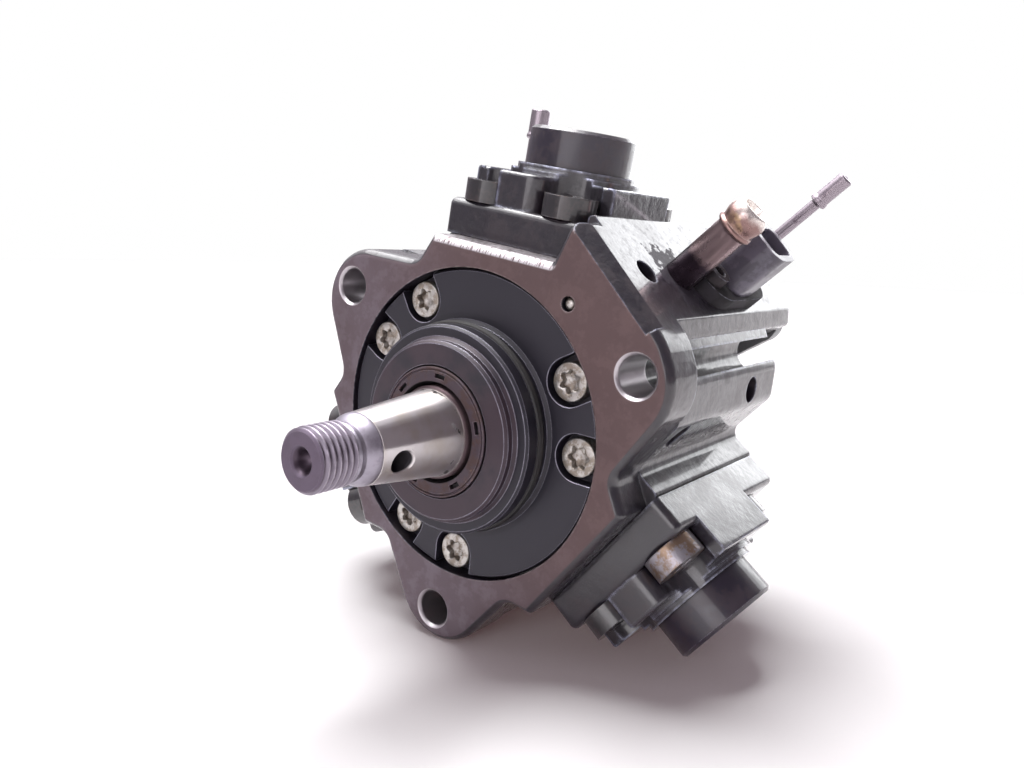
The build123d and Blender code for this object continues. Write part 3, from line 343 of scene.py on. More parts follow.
def makeHousingMaterial(look):
    made, tree, shader = startMaterial("housingCastIron")
    edges = useGroup(tree, softEdges, {"Radius": 0.0008, "Breakup": 500.0, "Patchy": 0.8})
    grain = useGroup(tree, castGrain, {"Scale": look["grainScale"], "Depth": look["grainDepth"]})
    painted, wornAndSheen, blotch = paintLayer(tree, look, edges, 0.5)
    spot = place(tree)
    where = split(tree, spot)
    facing = split(tree, wire(tree, "ShaderNodeNewGeometry").outputs["Normal"])
    # the machined front face: a film of rust, redder to the right, greyer and lighter to the lower left with a
    # painted sheen, and lighter at its rims, which are rubbed and carry a painted highlight
    front = product(tree, band(tree, where[1], look["frontBack"], look["frontBack"] / 2),
                    band(tree, facing[1], -0.8, -0.95))
    across = calc(tree, "MULTIPLY_ADD", where[0], 0.7, product(tree, where[2], 0.5))
    rustAndSheen = mixColour(tree, band(tree, across, -0.022, 0.026), look["rustAndSheenLeft"], look["rustRight"])
    mottled = useGroup(tree, stain, {"Scale": 170.0, "Cover": 0.55})["Mask"]
    cloudy = band(tree, noise(tree, 60.0, 4.0, 0.6), 0.42, 0.68)
    rustAndSheen = mixColour(tree, product(tree, mottled, 0.32), rustAndSheen, look["rustDark"])
    rustAndSheen = mixColour(tree, product(tree, cloudy, 0.4), rustAndSheen, look["rustDark"])
    rustAndSheen = mixColour(tree, product(tree, edges["WornAndSheen"], 0.7), rustAndSheen, look["rustRimAndHighlight"])
    # bolt hole walls are bare
    level = wire(tree, "ShaderNodeCombineXYZ", {0: where[0], 1: 0.0, 2: where[2]}).outputs[0]
    nearest = 1.0
    for angle in look["holeAngles"]:
        centre = tuple(outwardAt(angle) * look["holeCircle"])
        nearest = calc(tree, "MINIMUM", vectorCalc(tree, "DISTANCE", level, centre), nearest)
    hole = product(tree, band(tree, nearest, look["holeReach"], look["holeReach"] - 0.0005),
                   band(tree, facing[1], -0.9, -0.8),
                   band(tree, where[1], look["earBack"] + 0.0002, look["earBack"] - 0.0002))
    # the milled strip in front of the top head shows bare metal with tool marks
    aside = calc(tree, "ABSOLUTE", where[0])
    strip = product(tree, band(tree, where[2], look["stripLow"], look["stripLow"] + 0.0004),
                    band(tree, where[1], look["stripBack"], look["stripBack"] - 0.0003),
                    band(tree, aside, look["stripHalf"], look["stripHalf"] - 0.001),
                    band(tree, facing[2], 0.12, 0.3), band(tree, calc(tree, "ABSOLUTE", facing[0]), 0.4, 0.2))
    marks = noise(tree, 1.0, 2.0, 0.5, vectorCalc(tree, "MULTIPLY", spot, look["markScale"]))
    # oily dirt round the foot of the pipe
    wander = product(tree, calc(tree, "SUBTRACT", noise(tree, 420.0, 4.0), 0.5), look["pipeFootWander"])
    foot = calc(tree, "ADD", vectorCalc(tree, "DISTANCE", spot, look["pipeFoot"]), wander)
    grime = band(tree, foot, look["pipeFootReach"], look["pipeFootReach"] * 0.82)
    base = mixColour(tree, grime, painted, look["grime"])
    base = mixColour(tree, front, base, rustAndSheen)
    base = mixColour(tree, largest(tree, hole, strip), base, look["bare"])
    base = mixColour(tree, product(tree, strip, band(tree, marks, 0.5, 0.62)), base, look["rustDark"])
    metal = largest(tree, product(tree, hole, 0.9), product(tree, wornAndSheen, 0.6), product(tree, front, 0.3),
                    product(tree, strip, 0.6))
    bare = largest(tree, front, hole, strip)
    rough = mixValue(tree, front, mixValue(tree, blotch, 0.34, 0.5), mixValue(tree, mottled, 0.5, 0.62))
    rough = mixValue(tree, hole, mixValue(tree, grime, rough, 0.8), 0.3)
    dull = largest(tree, bare, product(tree, grime, 0.85), product(tree, grain["Pits"], 0.35))
    height = product(tree, grain["Height"], mixValue(tree, bare, 0.72, 0.08))
    height = calc(tree, "MULTIPLY_ADD", product(tree, marks, strip), look["markDepth"], height)
    feed(tree, shader, {
        "Base Color": base, "Metallic": metal, "Roughness": rough,
        "Normal": bump(tree, height, edges["Normal"]),
        "Coat Weight": calc(tree, "SUBTRACT", 1.0, dull), "Coat Roughness": 0.1,
    })
    return made


def makeHeadMaterial(look):
    # The same paint as on the housing, more rubbed at its edges, with a broader painted highlight there, and on
    # a finer skin.
    made, tree, shader = startMaterial("headCastIron")
    edges = useGroup(tree, softEdges, {"Radius": 0.0013, "Breakup": 420.0, "Patchy": 0.75})
    grain = useGroup(tree, castGrain, {"Scale": look["grainScale"] * 1.2, "Depth": look["grainDepth"] * 0.8})
    painted, wornAndSheen, blotch = paintLayer(tree, look, edges, 0.7)
    feed(tree, shader, {
        "Base Color": painted, "Metallic": product(tree, wornAndSheen, 0.7),
        "Roughness": mixValue(tree, blotch, 0.3, 0.48),
        "Normal": bump(tree, grain["Height"], edges["Normal"]), "Coat Weight": 1.0, "Coat Roughness": 0.08,
    })
    return made


flangeLook = {
    "outer": colour(41, 38, 48),
    "middle": colour(36, 33, 43),
    "collar": colour(61, 48, 57),
    # rubbed metal and a painted highlight for the outer edges
    "edge": colour(200, 196, 214),
    # dirt and painted shade for the inner corners
    "dirtAndShade": colour(24, 20, 22),
    "collarRadius": 0.0222,
    "middleRadius": 0.0272,
    "ringDepth": 0.000012,
}


def makeFlangeMaterial(look):
    # A blackened turned disc: a browner collar, fine tool rings, dirt and painted shade in its inner corners,
    # and a thin bright line of rubbed metal and painted highlight on every outer edge.
    made, tree, shader = startMaterial("flangeBlack")
    edges = useGroup(tree, softEdges, {"Radius": 0.00042, "Breakup": 300.0, "Patchy": 0.3})
    rings = useGroup(tree, turnedRings, {"Scale": 2600.0})["Height"]
    radius = fromAxis(tree, split(tree, place(tree)))
    cloud = noise(tree, 90.0, 4.0, 0.55)
    middle = band(tree, radius, look["middleRadius"] + 0.0004, look["middleRadius"])
    collar = band(tree, radius, look["collarRadius"] + 0.0004, look["collarRadius"])
    base = mixColour(tree, middle, look["outer"], look["middle"])
    base = mixColour(tree, product(tree, collar, band(tree, cloud, 0.3, 0.55)), base, look["collar"])
    # dirt and painted shade darken the inner corners, and a painted highlight lies on the rubbed outer edges
    base = mixColour(tree, product(tree, edges["Sunk"], 0.8), base, look["dirtAndShade"])
    base = mixColour(tree, product(tree, edges["WornAndSheen"], 0.95), base, look["edge"])
    feed(tree, shader, {
        "Base Color": base, "Metallic": calc(tree, "MULTIPLY_ADD", edges["WornAndSheen"], 0.5, 0.2),
        "Roughness": mixValue(tree, cloud, 0.34, 0.52),
        "Normal": bump(tree, product(tree, rings, look["ringDepth"]), edges["Normal"]),
    })
    return made


shaftLook = {
    "steel": colour(222, 217, 218),
    "warm": colour(208, 200, 194),
    "nick": colour(44, 36, 38),
    "journal": colour(84, 68, 72),
    "nickFrom": -0.0150,
    "nickTo": -0.0122,
    "journalFrom": -0.0112,
    "holeShade": colour(46, 42, 48),
    "coneRadius": 0.008,
    "coneAt": -0.0338,
    "coneSlope": 0.1,
    "ringDepth": 0.000003,
}


def makeShaftMaterial(look):
    # Ground steel: gloss drawn out along the axis, faint grinding rings, a dull journal with a few dark nicks
    # beside it, and painted shade in the cross hole, which is all that lies well under the cone's surface.
    made, tree, shader = startMaterial("groundSteel")
    where = split(tree, place(tree))
    rings = useGroup(tree, turnedRings, {"Scale": 5200.0})["Height"]
    cloud = noise(tree, 140.0, 3.0, 0.5)
    along = calc(tree, "SUBTRACT", where[1], look["coneAt"])
    cone = calc(tree, "MULTIPLY_ADD", along, look["coneSlope"], look["coneRadius"])
    under = calc(tree, "SUBTRACT", cone, fromAxis(tree, where))
    hole = product(tree, band(tree, under, 0.0002, 0.0006), band(tree, along, 0.001, 0.0015))
    journal = band(tree, where[1], look["journalFrom"], look["journalFrom"] + 0.0003)
    near = product(tree, band(tree, where[1], look["nickFrom"], look["nickTo"]),
                   band(tree, where[1], look["journalFrom"], look["journalFrom"] - 0.0003))
    nick = product(tree, near, band(tree, noise(tree, 330.0, 3.0, 0.6), 0.57, 0.6))
    base = mixColour(tree, band(tree, cloud, 0.45, 0.7), look["steel"], look["warm"])
    base = mixColour(tree, journal, base, look["journal"])
    base = mixColour(tree, nick, base, look["nick"])
    # painted shade inside the cross hole
    base = mixColour(tree, hole, base, look["holeShade"])
    dull = largest(tree, nick, product(tree, journal, 0.5), hole)
    feed(tree, shader, {
        "Base Color": base, "Metallic": calc(tree, "SUBTRACT", 1.0, product(tree, dull, 0.6)),
        "Roughness": mixValue(tree, dull, mixValue(tree, cloud, 0.25, 0.32), 0.6),
        "Normal": bump(tree, product(tree, rings, look["ringDepth"])),
        "Tangent": wire(tree, "ShaderNodeTangent", direction_type="RADIAL", axis="Y").outputs[0],
        "Anisotropic": 0.95, "Anisotropic Rotation": 0.25,
    })
    return made


threadLook = {
    "face": colour(104, 92, 108),
    "flank": colour(134, 126, 138),
    "root": colour(86, 75, 86),
    "neck": colour(166, 160, 172),
    "crest": colour(172, 164, 176),
    "faceAt": -0.0484,
    "neckAt": -0.0394,
    "crestRadius": 0.0069,
    "rootRadius": 0.0062,
    "skinDepth": 0.00003,
}


def makeThreadMaterial(look):
    # Dull threads with bright crests and darker roots, a darker end face and a satin neck.
    made, tree, shader = startMaterial("threadSatin")
    edges = useGroup(tree, softEdges, {"Radius": 0.0002, "Breakup": 900.0, "Patchy": 0.4})
    where = split(tree, place(tree))
    radius = fromAxis(tree, where)
    cloud = noise(tree, 420.0, 4.0, 0.6)
    face = band(tree, where[1], look["faceAt"] + 0.0003, look["faceAt"])
    neck = band(tree, where[1], look["neckAt"], look["neckAt"] + 0.0005)
    root = band(tree, radius, look["rootRadius"] + 0.0004, look["rootRadius"])
    crest = band(tree, radius, look["crestRadius"] - 0.0001, look["crestRadius"] + 0.0001)
    base = mixColour(tree, root, look["flank"], look["root"])
    base = mixColour(tree, crest, base, look["crest"])
    base = mixColour(tree, neck, base, look["neck"])
    base = mixColour(tree, face, base, look["face"])
    base = mixColour(tree, product(tree, band(tree, cloud, 0.45, 0.7), 0.3), base, look["root"])
    base = mixColour(tree, product(tree, edges["WornAndSheen"], 0.6), base, look["crest"])
    feed(tree, shader, {
        "Base Color": base, "Metallic": mixValue(tree, face, 0.85, 0.6),
        "Roughness": mixValue(tree, face, mixValue(tree, cloud, 0.3, 0.45), 0.55),
        "Normal": bump(tree, product(tree, cloud, look["skinDepth"]), edges["Normal"]),
    })
    return made


pipeLook = {
    "foot": colour(58, 46, 56),
    "stem": colour(158, 136, 138),
    "bulb": colour(142, 114, 110),
    # gold for painted glints on the bulb
    "gold": colour(188, 156, 112),
    # a painted highlight for the mouth and the outer edges
    "tip": colour(236, 228, 222),
    "outward": (0.6293, 0.0, 0.7771),
    "slope": 0.056,
    "stemAt": 0.0075,
    "bulbAt": 0.0168,
    "tipAt": 0.0215,
    "wander": 0.006,
    "skinDepth": 0.00004,
}


def makePipeMaterial(look):
    # A tarnished drawn pipe: dark foot, brown stem, painted golden glints on the bulb, and a pale mouth and
    # outer edges that are a painted highlight.
    made, tree, shader = startMaterial("tarnishedPipe")
    edges = useGroup(tree, softEdges, {"Radius": 0.0003, "Breakup": 600.0, "Patchy": 0.5})
    outward = vectorCalc(tree, "DOT_PRODUCT", place(tree), look["outward"])
    height = calc(tree, "SUBTRACT", outward, look["slope"])
    cloud = noise(tree, 190.0, 4.0, 0.55)
    wavy = calc(tree, "MULTIPLY_ADD", calc(tree, "SUBTRACT", cloud, 0.5), look["wander"], height)
    stem = band(tree, wavy, look["stemAt"] - 0.0012, look["stemAt"] + 0.0012)
    base = mixColour(tree, stem, look["foot"], look["stem"])
    base = mixColour(tree, band(tree, height, look["bulbAt"] - 0.0004, look["bulbAt"]), base, look["bulb"])
    # painted golden glints on the bulb
    glint = product(tree, band(tree, cloud, 0.52, 0.62), band(tree, height, look["bulbAt"], look["tipAt"]))
    base = mixColour(tree, product(tree, glint, 0.8), base, look["gold"])
    # a painted highlight makes the mouth and the outer edges pale
    base = mixColour(tree, band(tree, wavy, look["tipAt"] - 0.001, look["tipAt"] + 0.0012), base, look["tip"])
    base = mixColour(tree, product(tree, edges["WornAndSheen"], 0.6), base, look["tip"])
    feed(tree, shader, {
        "Base Color": base, "Metallic": 0.8, "Roughness": mixValue(tree, cloud, 0.2, 0.36),
        "Normal": bump(tree, product(tree, cloud, look["skinDepth"]), edges["Normal"]),
    })
    return made


boltLook = {
    "paint": colour(24, 21, 26),
    "brown": colour(46, 36, 38),
    "silver": colour(150, 146, 152),
    "gold": colour(132, 112, 96),
    "bareAt": (0.0542, 0.015, -0.0156),
    "bareReach": 0.0095,
    "bareWander": 0.004,
    "skinDepth": 0.00008,
}


def makeBoltMaterial(look):
    # Painted bolts; the paint has come off the one head that is handled most.
    made, tree, shader = startMaterial("paintedBolt")
    edges = useGroup(tree, softEdges, {"Radius": 0.0005, "Breakup": 600.0, "Patchy": 0.7})
    wander = product(tree, calc(tree, "SUBTRACT", noise(tree, 500.0, 4.0), 0.5), look["bareWander"])
    away = calc(tree, "ADD", vectorCalc(tree, "DISTANCE", place(tree), look["bareAt"]), wander)
    bare = largest(tree, band(tree, away, look["bareReach"], look["bareReach"] * 0.9),
                   product(tree, edges["WornAndSheen"], 0.5))
    blotch = useGroup(tree, stain, {"Scale": 260.0, "Cover": 0.45})["Mask"]
    silver = mixColour(tree, blotch, look["silver"], look["gold"])
    base = mixColour(tree, bare, mixColour(tree, blotch, look["paint"], look["brown"]), silver)
    height = product(tree, noise(tree, 900.0), look["skinDepth"])
    feed(tree, shader, {
        "Base Color": base, "Metallic": product(tree, bare, 0.9),
        "Roughness": mixValue(tree, bare, 0.36, 0.34), "Normal": bump(tree, height, edges["Normal"]),
        "Coat Weight": calc(tree, "SUBTRACT", 1.0, bare), "Coat Roughness": 0.1,
    })
    return made


def makeTurnedMaterial(name, look):
    # A turned part: rings in its shading, blotches in its colour, lighter outer edges that are rubbed and carry
    # a painted highlight, and dirt and painted shade in its inner corners.
    made, tree, shader = startMaterial(name)
    edges = useGroup(tree, softEdges, {"Radius": look["edge"], "Breakup": 700.0})
    rings = useGroup(tree, turnedRings, {"Scale": look["ringScale"]})["Height"]
    blotch = useGroup(tree, stain, {"Scale": look["blotchScale"], "Cover": look["cover"]})["Mask"]
    base = mixColour(tree, blotch, look["main"], look["second"])
    # rubbed outer edges with a painted highlight, and dirt and painted shade in the inner corners
    base = mixColour(tree, product(tree, edges["WornAndSheen"], look["wornAndSheen"]), base, look["rim"])
    base = mixColour(tree, product(tree, edges["Sunk"], look["sunk"]), base, look["dirtAndShade"])
    feed(tree, shader, {
        "Base Color": base, "Metallic": look["metal"],
        "Roughness": mixValue(tree, blotch, look["rough"], look["roughSecond"]),
        "Normal": bump(tree, product(tree, rings, look["ringDepth"]), edges["Normal"]),
        "Coat Weight": look["coat"], "Coat Roughness": 0.1,
    })
    return made


# rim is rubbed metal with a painted highlight; dirt and painted shade fill the inner corners
turnedDefault = {
    "main": colour(60, 60, 70), "second": colour(52, 50, 58), "rim": colour(150, 150, 165),
    "dirtAndShade": colour(25, 20, 20), "edge": 0.0004, "ringScale": 4000.0, "ringDepth": 0.00001,
    "blotchScale": 120.0, "cover": 0.5, "wornAndSheen": 0.9, "sunk": 0.7, "metal": 0.3, "rough": 0.42,
    "roughSecond": 0.55, "coat": 0.0,
}

turnedFinishes = {
    "darkSteel": {"main": colour(42, 40, 45), "second": colour(34, 31, 34), "metal": 0.5, "rough": 0.3},
    "zincSteel": {
        "main": colour(190, 186, 182), "second": colour(150, 140, 130), "rim": colour(225, 222, 220),
        "metal": 0.85, "rough": 0.3, "roughSecond": 0.5, "cover": 0.5, "blotchScale": 500.0,
        "dirtAndShade": colour(88, 72, 60),
    },
    "springSteel": {
        "main": colour(130, 130, 134), "second": colour(100, 100, 106), "metal": 0.9, "rough": 0.35,
    },
    "hardSteel": {
        "main": colour(170, 170, 172), "second": colour(150, 150, 152), "metal": 1.0, "rough": 0.2,
    },
    "plugSteel": {
        "main": colour(30, 21, 40), "second": colour(44, 32, 44), "rim": colour(170, 160, 180),
        "metal": 0.0, "rough": 0.35, "roughSecond": 0.5, "wornAndSheen": 0.7, "coat": 0.6, "blotchScale": 180.0,
    },
    "nippleSteel": {
        "main": colour(156, 146, 154), "second": colour(124, 112, 122), "rim": colour(225, 220, 228),
        "metal": 0.8, "rough": 0.3, "roughSecond": 0.36, "blotchScale": 150.0, "cover": 0.3,
        "ringDepth": 0.0,
    },
    "bushBronze": {
        "main": colour(180, 150, 104), "second": colour(140, 110, 76), "metal": 0.95, "rough": 0.3,
    },
    "castAluminium": {
        "main": colour(158, 158, 160), "second": colour(149, 149, 151), "rim": colour(205, 205, 208),
        "metal": 0.75, "rough": 0.45, "roughSecond": 0.58,
    },
    "meteringBlack": {
        "main": colour(32, 26, 34), "second": colour(24, 20, 24), "metal": 0.0, "rough": 0.7,
        "roughSecond": 0.8,
    },
    "connectorPlastic": {
        "main": colour(92, 86, 100), "second": colour(70, 64, 76), "rim": colour(170, 166, 178),
        "metal": 0.0, "coat": 0.5, "rough": 0.4, "roughSecond": 0.52, "ringDepth": 0.000002,
    },
    "sealRubber": {
        "edge": 0.0002, "main": colour(24, 22, 24), "second": colour(34, 30, 31),
        "rim": colour(48, 45, 48), "metal": 0.0, "rough": 0.5, "roughSecond": 0.65, "ringDepth": 0.000002,
    },
    "meteringScrew": {"main": colour(32, 28, 34), "second": colour(44, 36, 40), "metal": 0.2, "rough": 0.6},
}
finish = {name: makeTurnedMaterial(name, {**turnedDefault, **look}) for name, look in turnedFinishes.items()}
finish["housing"] = makeHousingMaterial(casting)
finish["head"] = makeHeadMaterial(casting)
finish["flange"] = makeFlangeMaterial(flangeLook)
finish["groundSteel"] = makeShaftMaterial(shaftLook)
finish["bolt"] = makeBoltMaterial(boltLook)
finish["threadSteel"] = makeThreadMaterial(threadLook)
finish["pipeSteel"] = makePipeMaterial(pipeLook)
print("materials made:", len(finish))

slotFinish = {
    "housing_paint": "housing", "head_paint": "head", "flange_steel": "flange",
    "bright_steel": "groundSteel", "zinc_steel": "zincSteel", "dark_steel": "darkSteel",
    "spring_steel": "springSteel", "hard_steel": "hardSteel", "pipe_steel": "pipeSteel",
    "nipple_steel": "nippleSteel", "bush_bronze": "bushBronze", "pump_aluminium": "castAluminium",
    "metering_black": "meteringBlack", "connector_plastic": "connectorPlastic",
    "seal_rubber": "sealRubber",
}
ownFinish = {"head_plug_top": "plugSteel", "head_plug_left": "plugSteel", "head_plug_right": "plugSteel",
             "head_bolts": "bolt", "metering_screws": "meteringScrew", "drilling_plug": "zincSteel"}
for part in frame["record"]["subparts"]:
    nodeName = part["node"]
    fitting = finish[ownFinish.get(nodeName, slotFinish[part["material_slot"]])]
    nodes[nodeName].data.materials.clear()
    nodes[nodeName].data.materials.append(fitting)
print("node finishes set")


thread = {
    "outer": 7.0 * mm,
    "front": -48.7 * mm,
    "back": -37.9 * mm,
    "neck": 6.5 * mm,
    "neckEnd": -37.0 * mm,
    "shoulder": 8.0 * mm,
    "shoulderAt": -33.8 * mm,
    "pitch": 1.5 * mm,
    "depth": 0.7 * mm,
    "crestFrom": 0.12,
    "crestRise": 0.74,
    "runOut": 0.8,
    "chamfer": 0.9 * mm,
    "chamferSlope": 1.15,
    "holeRadius": 3.2 * mm,
    "boreRadius": 2.2 * mm,
    "around": 128,
    "perPitch": 12,
}


def ringAt(turn, size, at):
    # One ring of points round the Y axis for each pair of radius and place along the axis.
    spin = 2 * math.pi * turn[None, :]
    size = np.asarray(size)[:, None] * np.ones_like(spin)
    at = np.asarray(at)[:, None] * np.ones_like(spin)
    return np.stack([size * np.cos(spin), at, size * np.sin(spin)], -1)


def makeThread(look):
    # Radius is a triangle wave of the distance along the axis less pitch times the turn, flattened at its
    # crest and root, and capped by the chamfer at the nose and the run-out at the neck. The neck swells to the
    # shoulder.
    turn = np.arange(look["around"]) / look["around"]
    rows = int((look["back"] - look["front"]) / look["pitch"] * look["perPitch"])
    along = np.linspace(look["front"], look["back"], rows)[:, None]
    phase = (along - look["front"]) / look["pitch"] - turn[None, :]
    saw = np.abs((phase % 1.0) * 2 - 1)
    crest = np.clip((saw - look["crestFrom"]) / look["crestRise"], 0, 1)
    radius = look["outer"] - look["depth"] * (1 - crest)
    nose = look["outer"] - look["chamfer"] * 1.05 + (along - look["front"]) * look["chamferSlope"]
    tail = np.clip((look["back"] - along) / (look["runOut"] * look["pitch"]), 0, 1)
    radius = np.minimum(radius, nose)
    radius = look["neck"] + (radius - look["neck"]) * tail
    spin = 2 * math.pi * turn[None, :] * np.ones_like(along)
    surface = np.stack([radius * np.cos(spin), along * np.ones_like(spin), radius * np.sin(spin)], -1)
    front = ringAt(turn, [0.0, look["boreRadius"], look["boreRadius"] + 0.1 * mm, look["holeRadius"],
                          look["holeRadius"] + 0.15 * mm, look["outer"] - look["chamfer"] * 1.1],
                   look["front"] + np.array([5.0, 1.7, 1.2, 0.1, 0.0, 0.0]) * mm)
    swell = np.linspace(0, 1, 20)
    neck = ringAt(turn, look["neck"] + (look["shoulder"] - look["neck"]) * (1 - (1 - swell) ** 2.2),
                  look["neckEnd"] + (look["shoulderAt"] - look["neckEnd"]) * swell)
    back = ringAt(turn, [0.0], [look["shoulderAt"]])
    return closeMesh(gridMesh("threadEnd", np.concatenate([front, surface, neck, back])))


taper = {
    "small": 8.0 * mm,
    "smallAt": -33.8 * mm,
    "large": 10.28 * mm,
    "largeAt": -11.0 * mm,
    "journal": 11.0 * mm,
    "back": -6.0 * mm,
    "edge": 0.25 * mm,
    "stepDepth": 0.7 * mm,
    "around": 256,
    "holeAngle": -8.0,
    "holeAt": -28.5 * mm,
    "holeRadius": 2.6 * mm,
    "holeMouth": 0.35 * mm,
    "holeDepth": 6.0 * mm,
    "holeSlope": 0.1,
}


def makeTaper(look):
    # A cone turned about the axis with a small rounded step up to the journal, and a cross hole in its side.
    turn = np.arange(look["around"]) / look["around"]
    cone = np.linspace(0, 1, 60)
    step = np.linspace(0, math.pi / 2, 8)
    coneStart = look["smallAt"] + look["edge"]
    journalStart = look["largeAt"] + look["stepDepth"] + 0.1 * mm
    radius = np.concatenate([
        [0.0, look["small"] - look["edge"]], look["small"] + (look["large"] - look["small"]) * cone,
        look["large"] + (look["journal"] - look["large"]) * np.sin(step), [look["journal"]] * 6, [0.0]])
    at = np.concatenate([
        [look["smallAt"]] * 2, coneStart + (look["largeAt"] - coneStart) * cone,
        look["largeAt"] + (1 - np.cos(step)) * look["stepDepth"], np.linspace(journalStart, look["back"], 6),
        [look["back"]]])
    body = closeMesh(gridMesh("shaftTaper", ringAt(turn, radius, at)))
    reach = look["small"] + look["holeSlope"] * (look["holeAt"] - look["smallAt"])
    mouth = look["holeRadius"] + look["holeMouth"]
    bottom = reach - look["holeDepth"]
    drill = ringAt(np.arange(64) / 64,
                   [0.0, look["holeRadius"], look["holeRadius"], mouth, mouth + 2 * mm, 0.0],
                   [bottom, bottom, reach - 0.75 * mm, reach - 0.3 * mm, reach + 2 * mm, reach + 2 * mm])
    drillMesh = closeMesh(gridMesh("crossDrill", drill))
    outward = Vector(outwardAt(look["holeAngle"]))
    turnTo = outward.rotation_difference(Vector((0, 1, 0))).inverted().to_matrix().to_4x4()
    drillMesh.transform(Matrix.Translation((0, look["holeAt"], 0)) @ turnTo)
    return combine("shaftTaper", body, drillMesh, "DIFFERENCE")


addPiece("threadEnd", makeThread(thread), "shaft", "bright_steel", finish["threadSteel"])
addPiece("shaftTaper", makeTaper(taper), "shaft", "bright_steel", finish["groundSteel"])
addPiece("shaftBody", copyNode("drive_shaft", "shaftBody", taper["back"]), "shaft", "bright_steel",
         finish["groundSteel"], "drive_shaft")
print("shaft made")


headBlock = {
    "angles": {"top": 90, "left": 210, "right": 330},
    "seat": 43.7 * mm,
    "offset": 1.8 * mm,
    "depth": 33.6 * mm,
    "inner": 18.6 * mm,
    "outer": 20.7 * mm,
    "low": 4.0 * mm,
    "high": 17.3 * mm,
    "sunk": 0.02 * mm,
    "round": 0.8 * mm,
    "front": 14.5 * mm,
    "rear": -12.6 * mm,
}


def makeHead(side, angle, look):
    # A copy of the head with a filling on each side arm, so that the arm's wall runs straight to the seat.
    name = f"head{side.title()}"
    mesh = copyNode(f"cylinder_head_{side}", name)
    outward, around, deep = outwardAt(angle), outwardAt(angle + 90), np.array([0.0, -1.0, 0.0])
    origin = outward * look["seat"] + around * look["offset"] - deep * look["depth"]
    inner, outer, low, high, r = look["inner"], look["outer"], look["low"], look["high"], look["round"]
    outline = np.array([(inner, low), (outer, low), (outer, high - r), (outer - 0.3 * r, high - 0.3 * r),
                        (outer - r, high - look["sunk"]), (inner, high - look["sunk"])])
    for sign in (1, -1):
        ends = np.stack([origin + sign * outline[:, :1] * around + outline[:, 1:] * outward + deep * at
                         for at in (look["rear"], look["front"])])
        mesh = combine(name, mesh, closeMesh(gridMesh("armFilling", ends)), "UNION")
    return mesh


for headSide, headAngle in headBlock["angles"].items():
    addPiece(f"head{headSide.title()}", makeHead(headSide, headAngle, headBlock), "housing", "head_paint",
             finish["head"], f"cylinder_head_{headSide}")
print("heads made")


seal = {
    "outer": 15.45 * mm,
    "rim": 15.1 * mm,
    "groove": 14.75 * mm,
    "inner": 12.0 * mm,
    "throat": 11.6 * mm,
    "lip": 11.06 * mm,
    "lipBack": 12.3 * mm,
    "front": -10.4 * mm,
    "back": -3.2 * mm,
    "slotInner": 12.9 * mm,
    "slotOuter": 14.0 * mm,
    "slotDepth": 1.1 * mm,
    "slotHalf": 6.5,
    "slotAngles": (145, 91, 22, -49, -107, -160),
    "around": 720,
}


sealLook = {
    "case": colour(70, 57, 66),
    "brown": colour(76, 57, 56),
    "pale": colour(140, 112, 96),
    # rubbed metal and a painted highlight for the outer edges
    "edge": colour(166, 150, 158),
    # black for the rubber lip, and painted shade on the floors of the slots
    "rubberAndSlotShade": colour(19, 14, 18),
    "lipRadius": 0.0121,
    "slotAt": -0.0100,
    "skinDepth": 0.00006,
}


def makeSealMaterial(look):
    # A rusty pressed ring with painted shade in its slots round a black rubber lip, and a painted highlight on
    # its outer edges.
    made, tree, shader = startMaterial("sealRing")
    edges = useGroup(tree, softEdges, {"Radius": 0.0002, "Breakup": 700.0, "Patchy": 0.6})
    where = split(tree, place(tree))
    radius = fromAxis(tree, where)
    rusty = useGroup(tree, stain, {"Scale": 260.0, "Cover": 0.45})["Mask"]
    pale = useGroup(tree, stain, {"Scale": 700.0, "Cover": 0.22})["Mask"]
    right = band(tree, where[0], -0.002, 0.012)
    base = mixColour(tree, rusty, look["case"], look["brown"])
    base = mixColour(tree, product(tree, pale, right), base, look["pale"])
    base = mixColour(tree, product(tree, edges["WornAndSheen"], 0.8), base, look["edge"])
    # the lip is black rubber; the slot floors take painted shade in the same black
    inner = band(tree, radius, look["lipRadius"] + 0.0001, look["lipRadius"] - 0.0001)
    deep = band(tree, where[1], look["slotAt"] - 0.0001, look["slotAt"] + 0.0002)
    dark = largest(tree, inner, deep)
    base = mixColour(tree, dark, base, look["rubberAndSlotShade"])
    height = product(tree, noise(tree, 1500.0), look["skinDepth"])
    feed(tree, shader, {
        "Base Color": base, "Metallic": product(tree, calc(tree, "SUBTRACT", 1.0, dark), 0.3),
        "Roughness": mixValue(tree, dark, mixValue(tree, rusty, 0.42, 0.6), 0.62),
        "Normal": bump(tree, height, edges["Normal"]),
    })
    return made


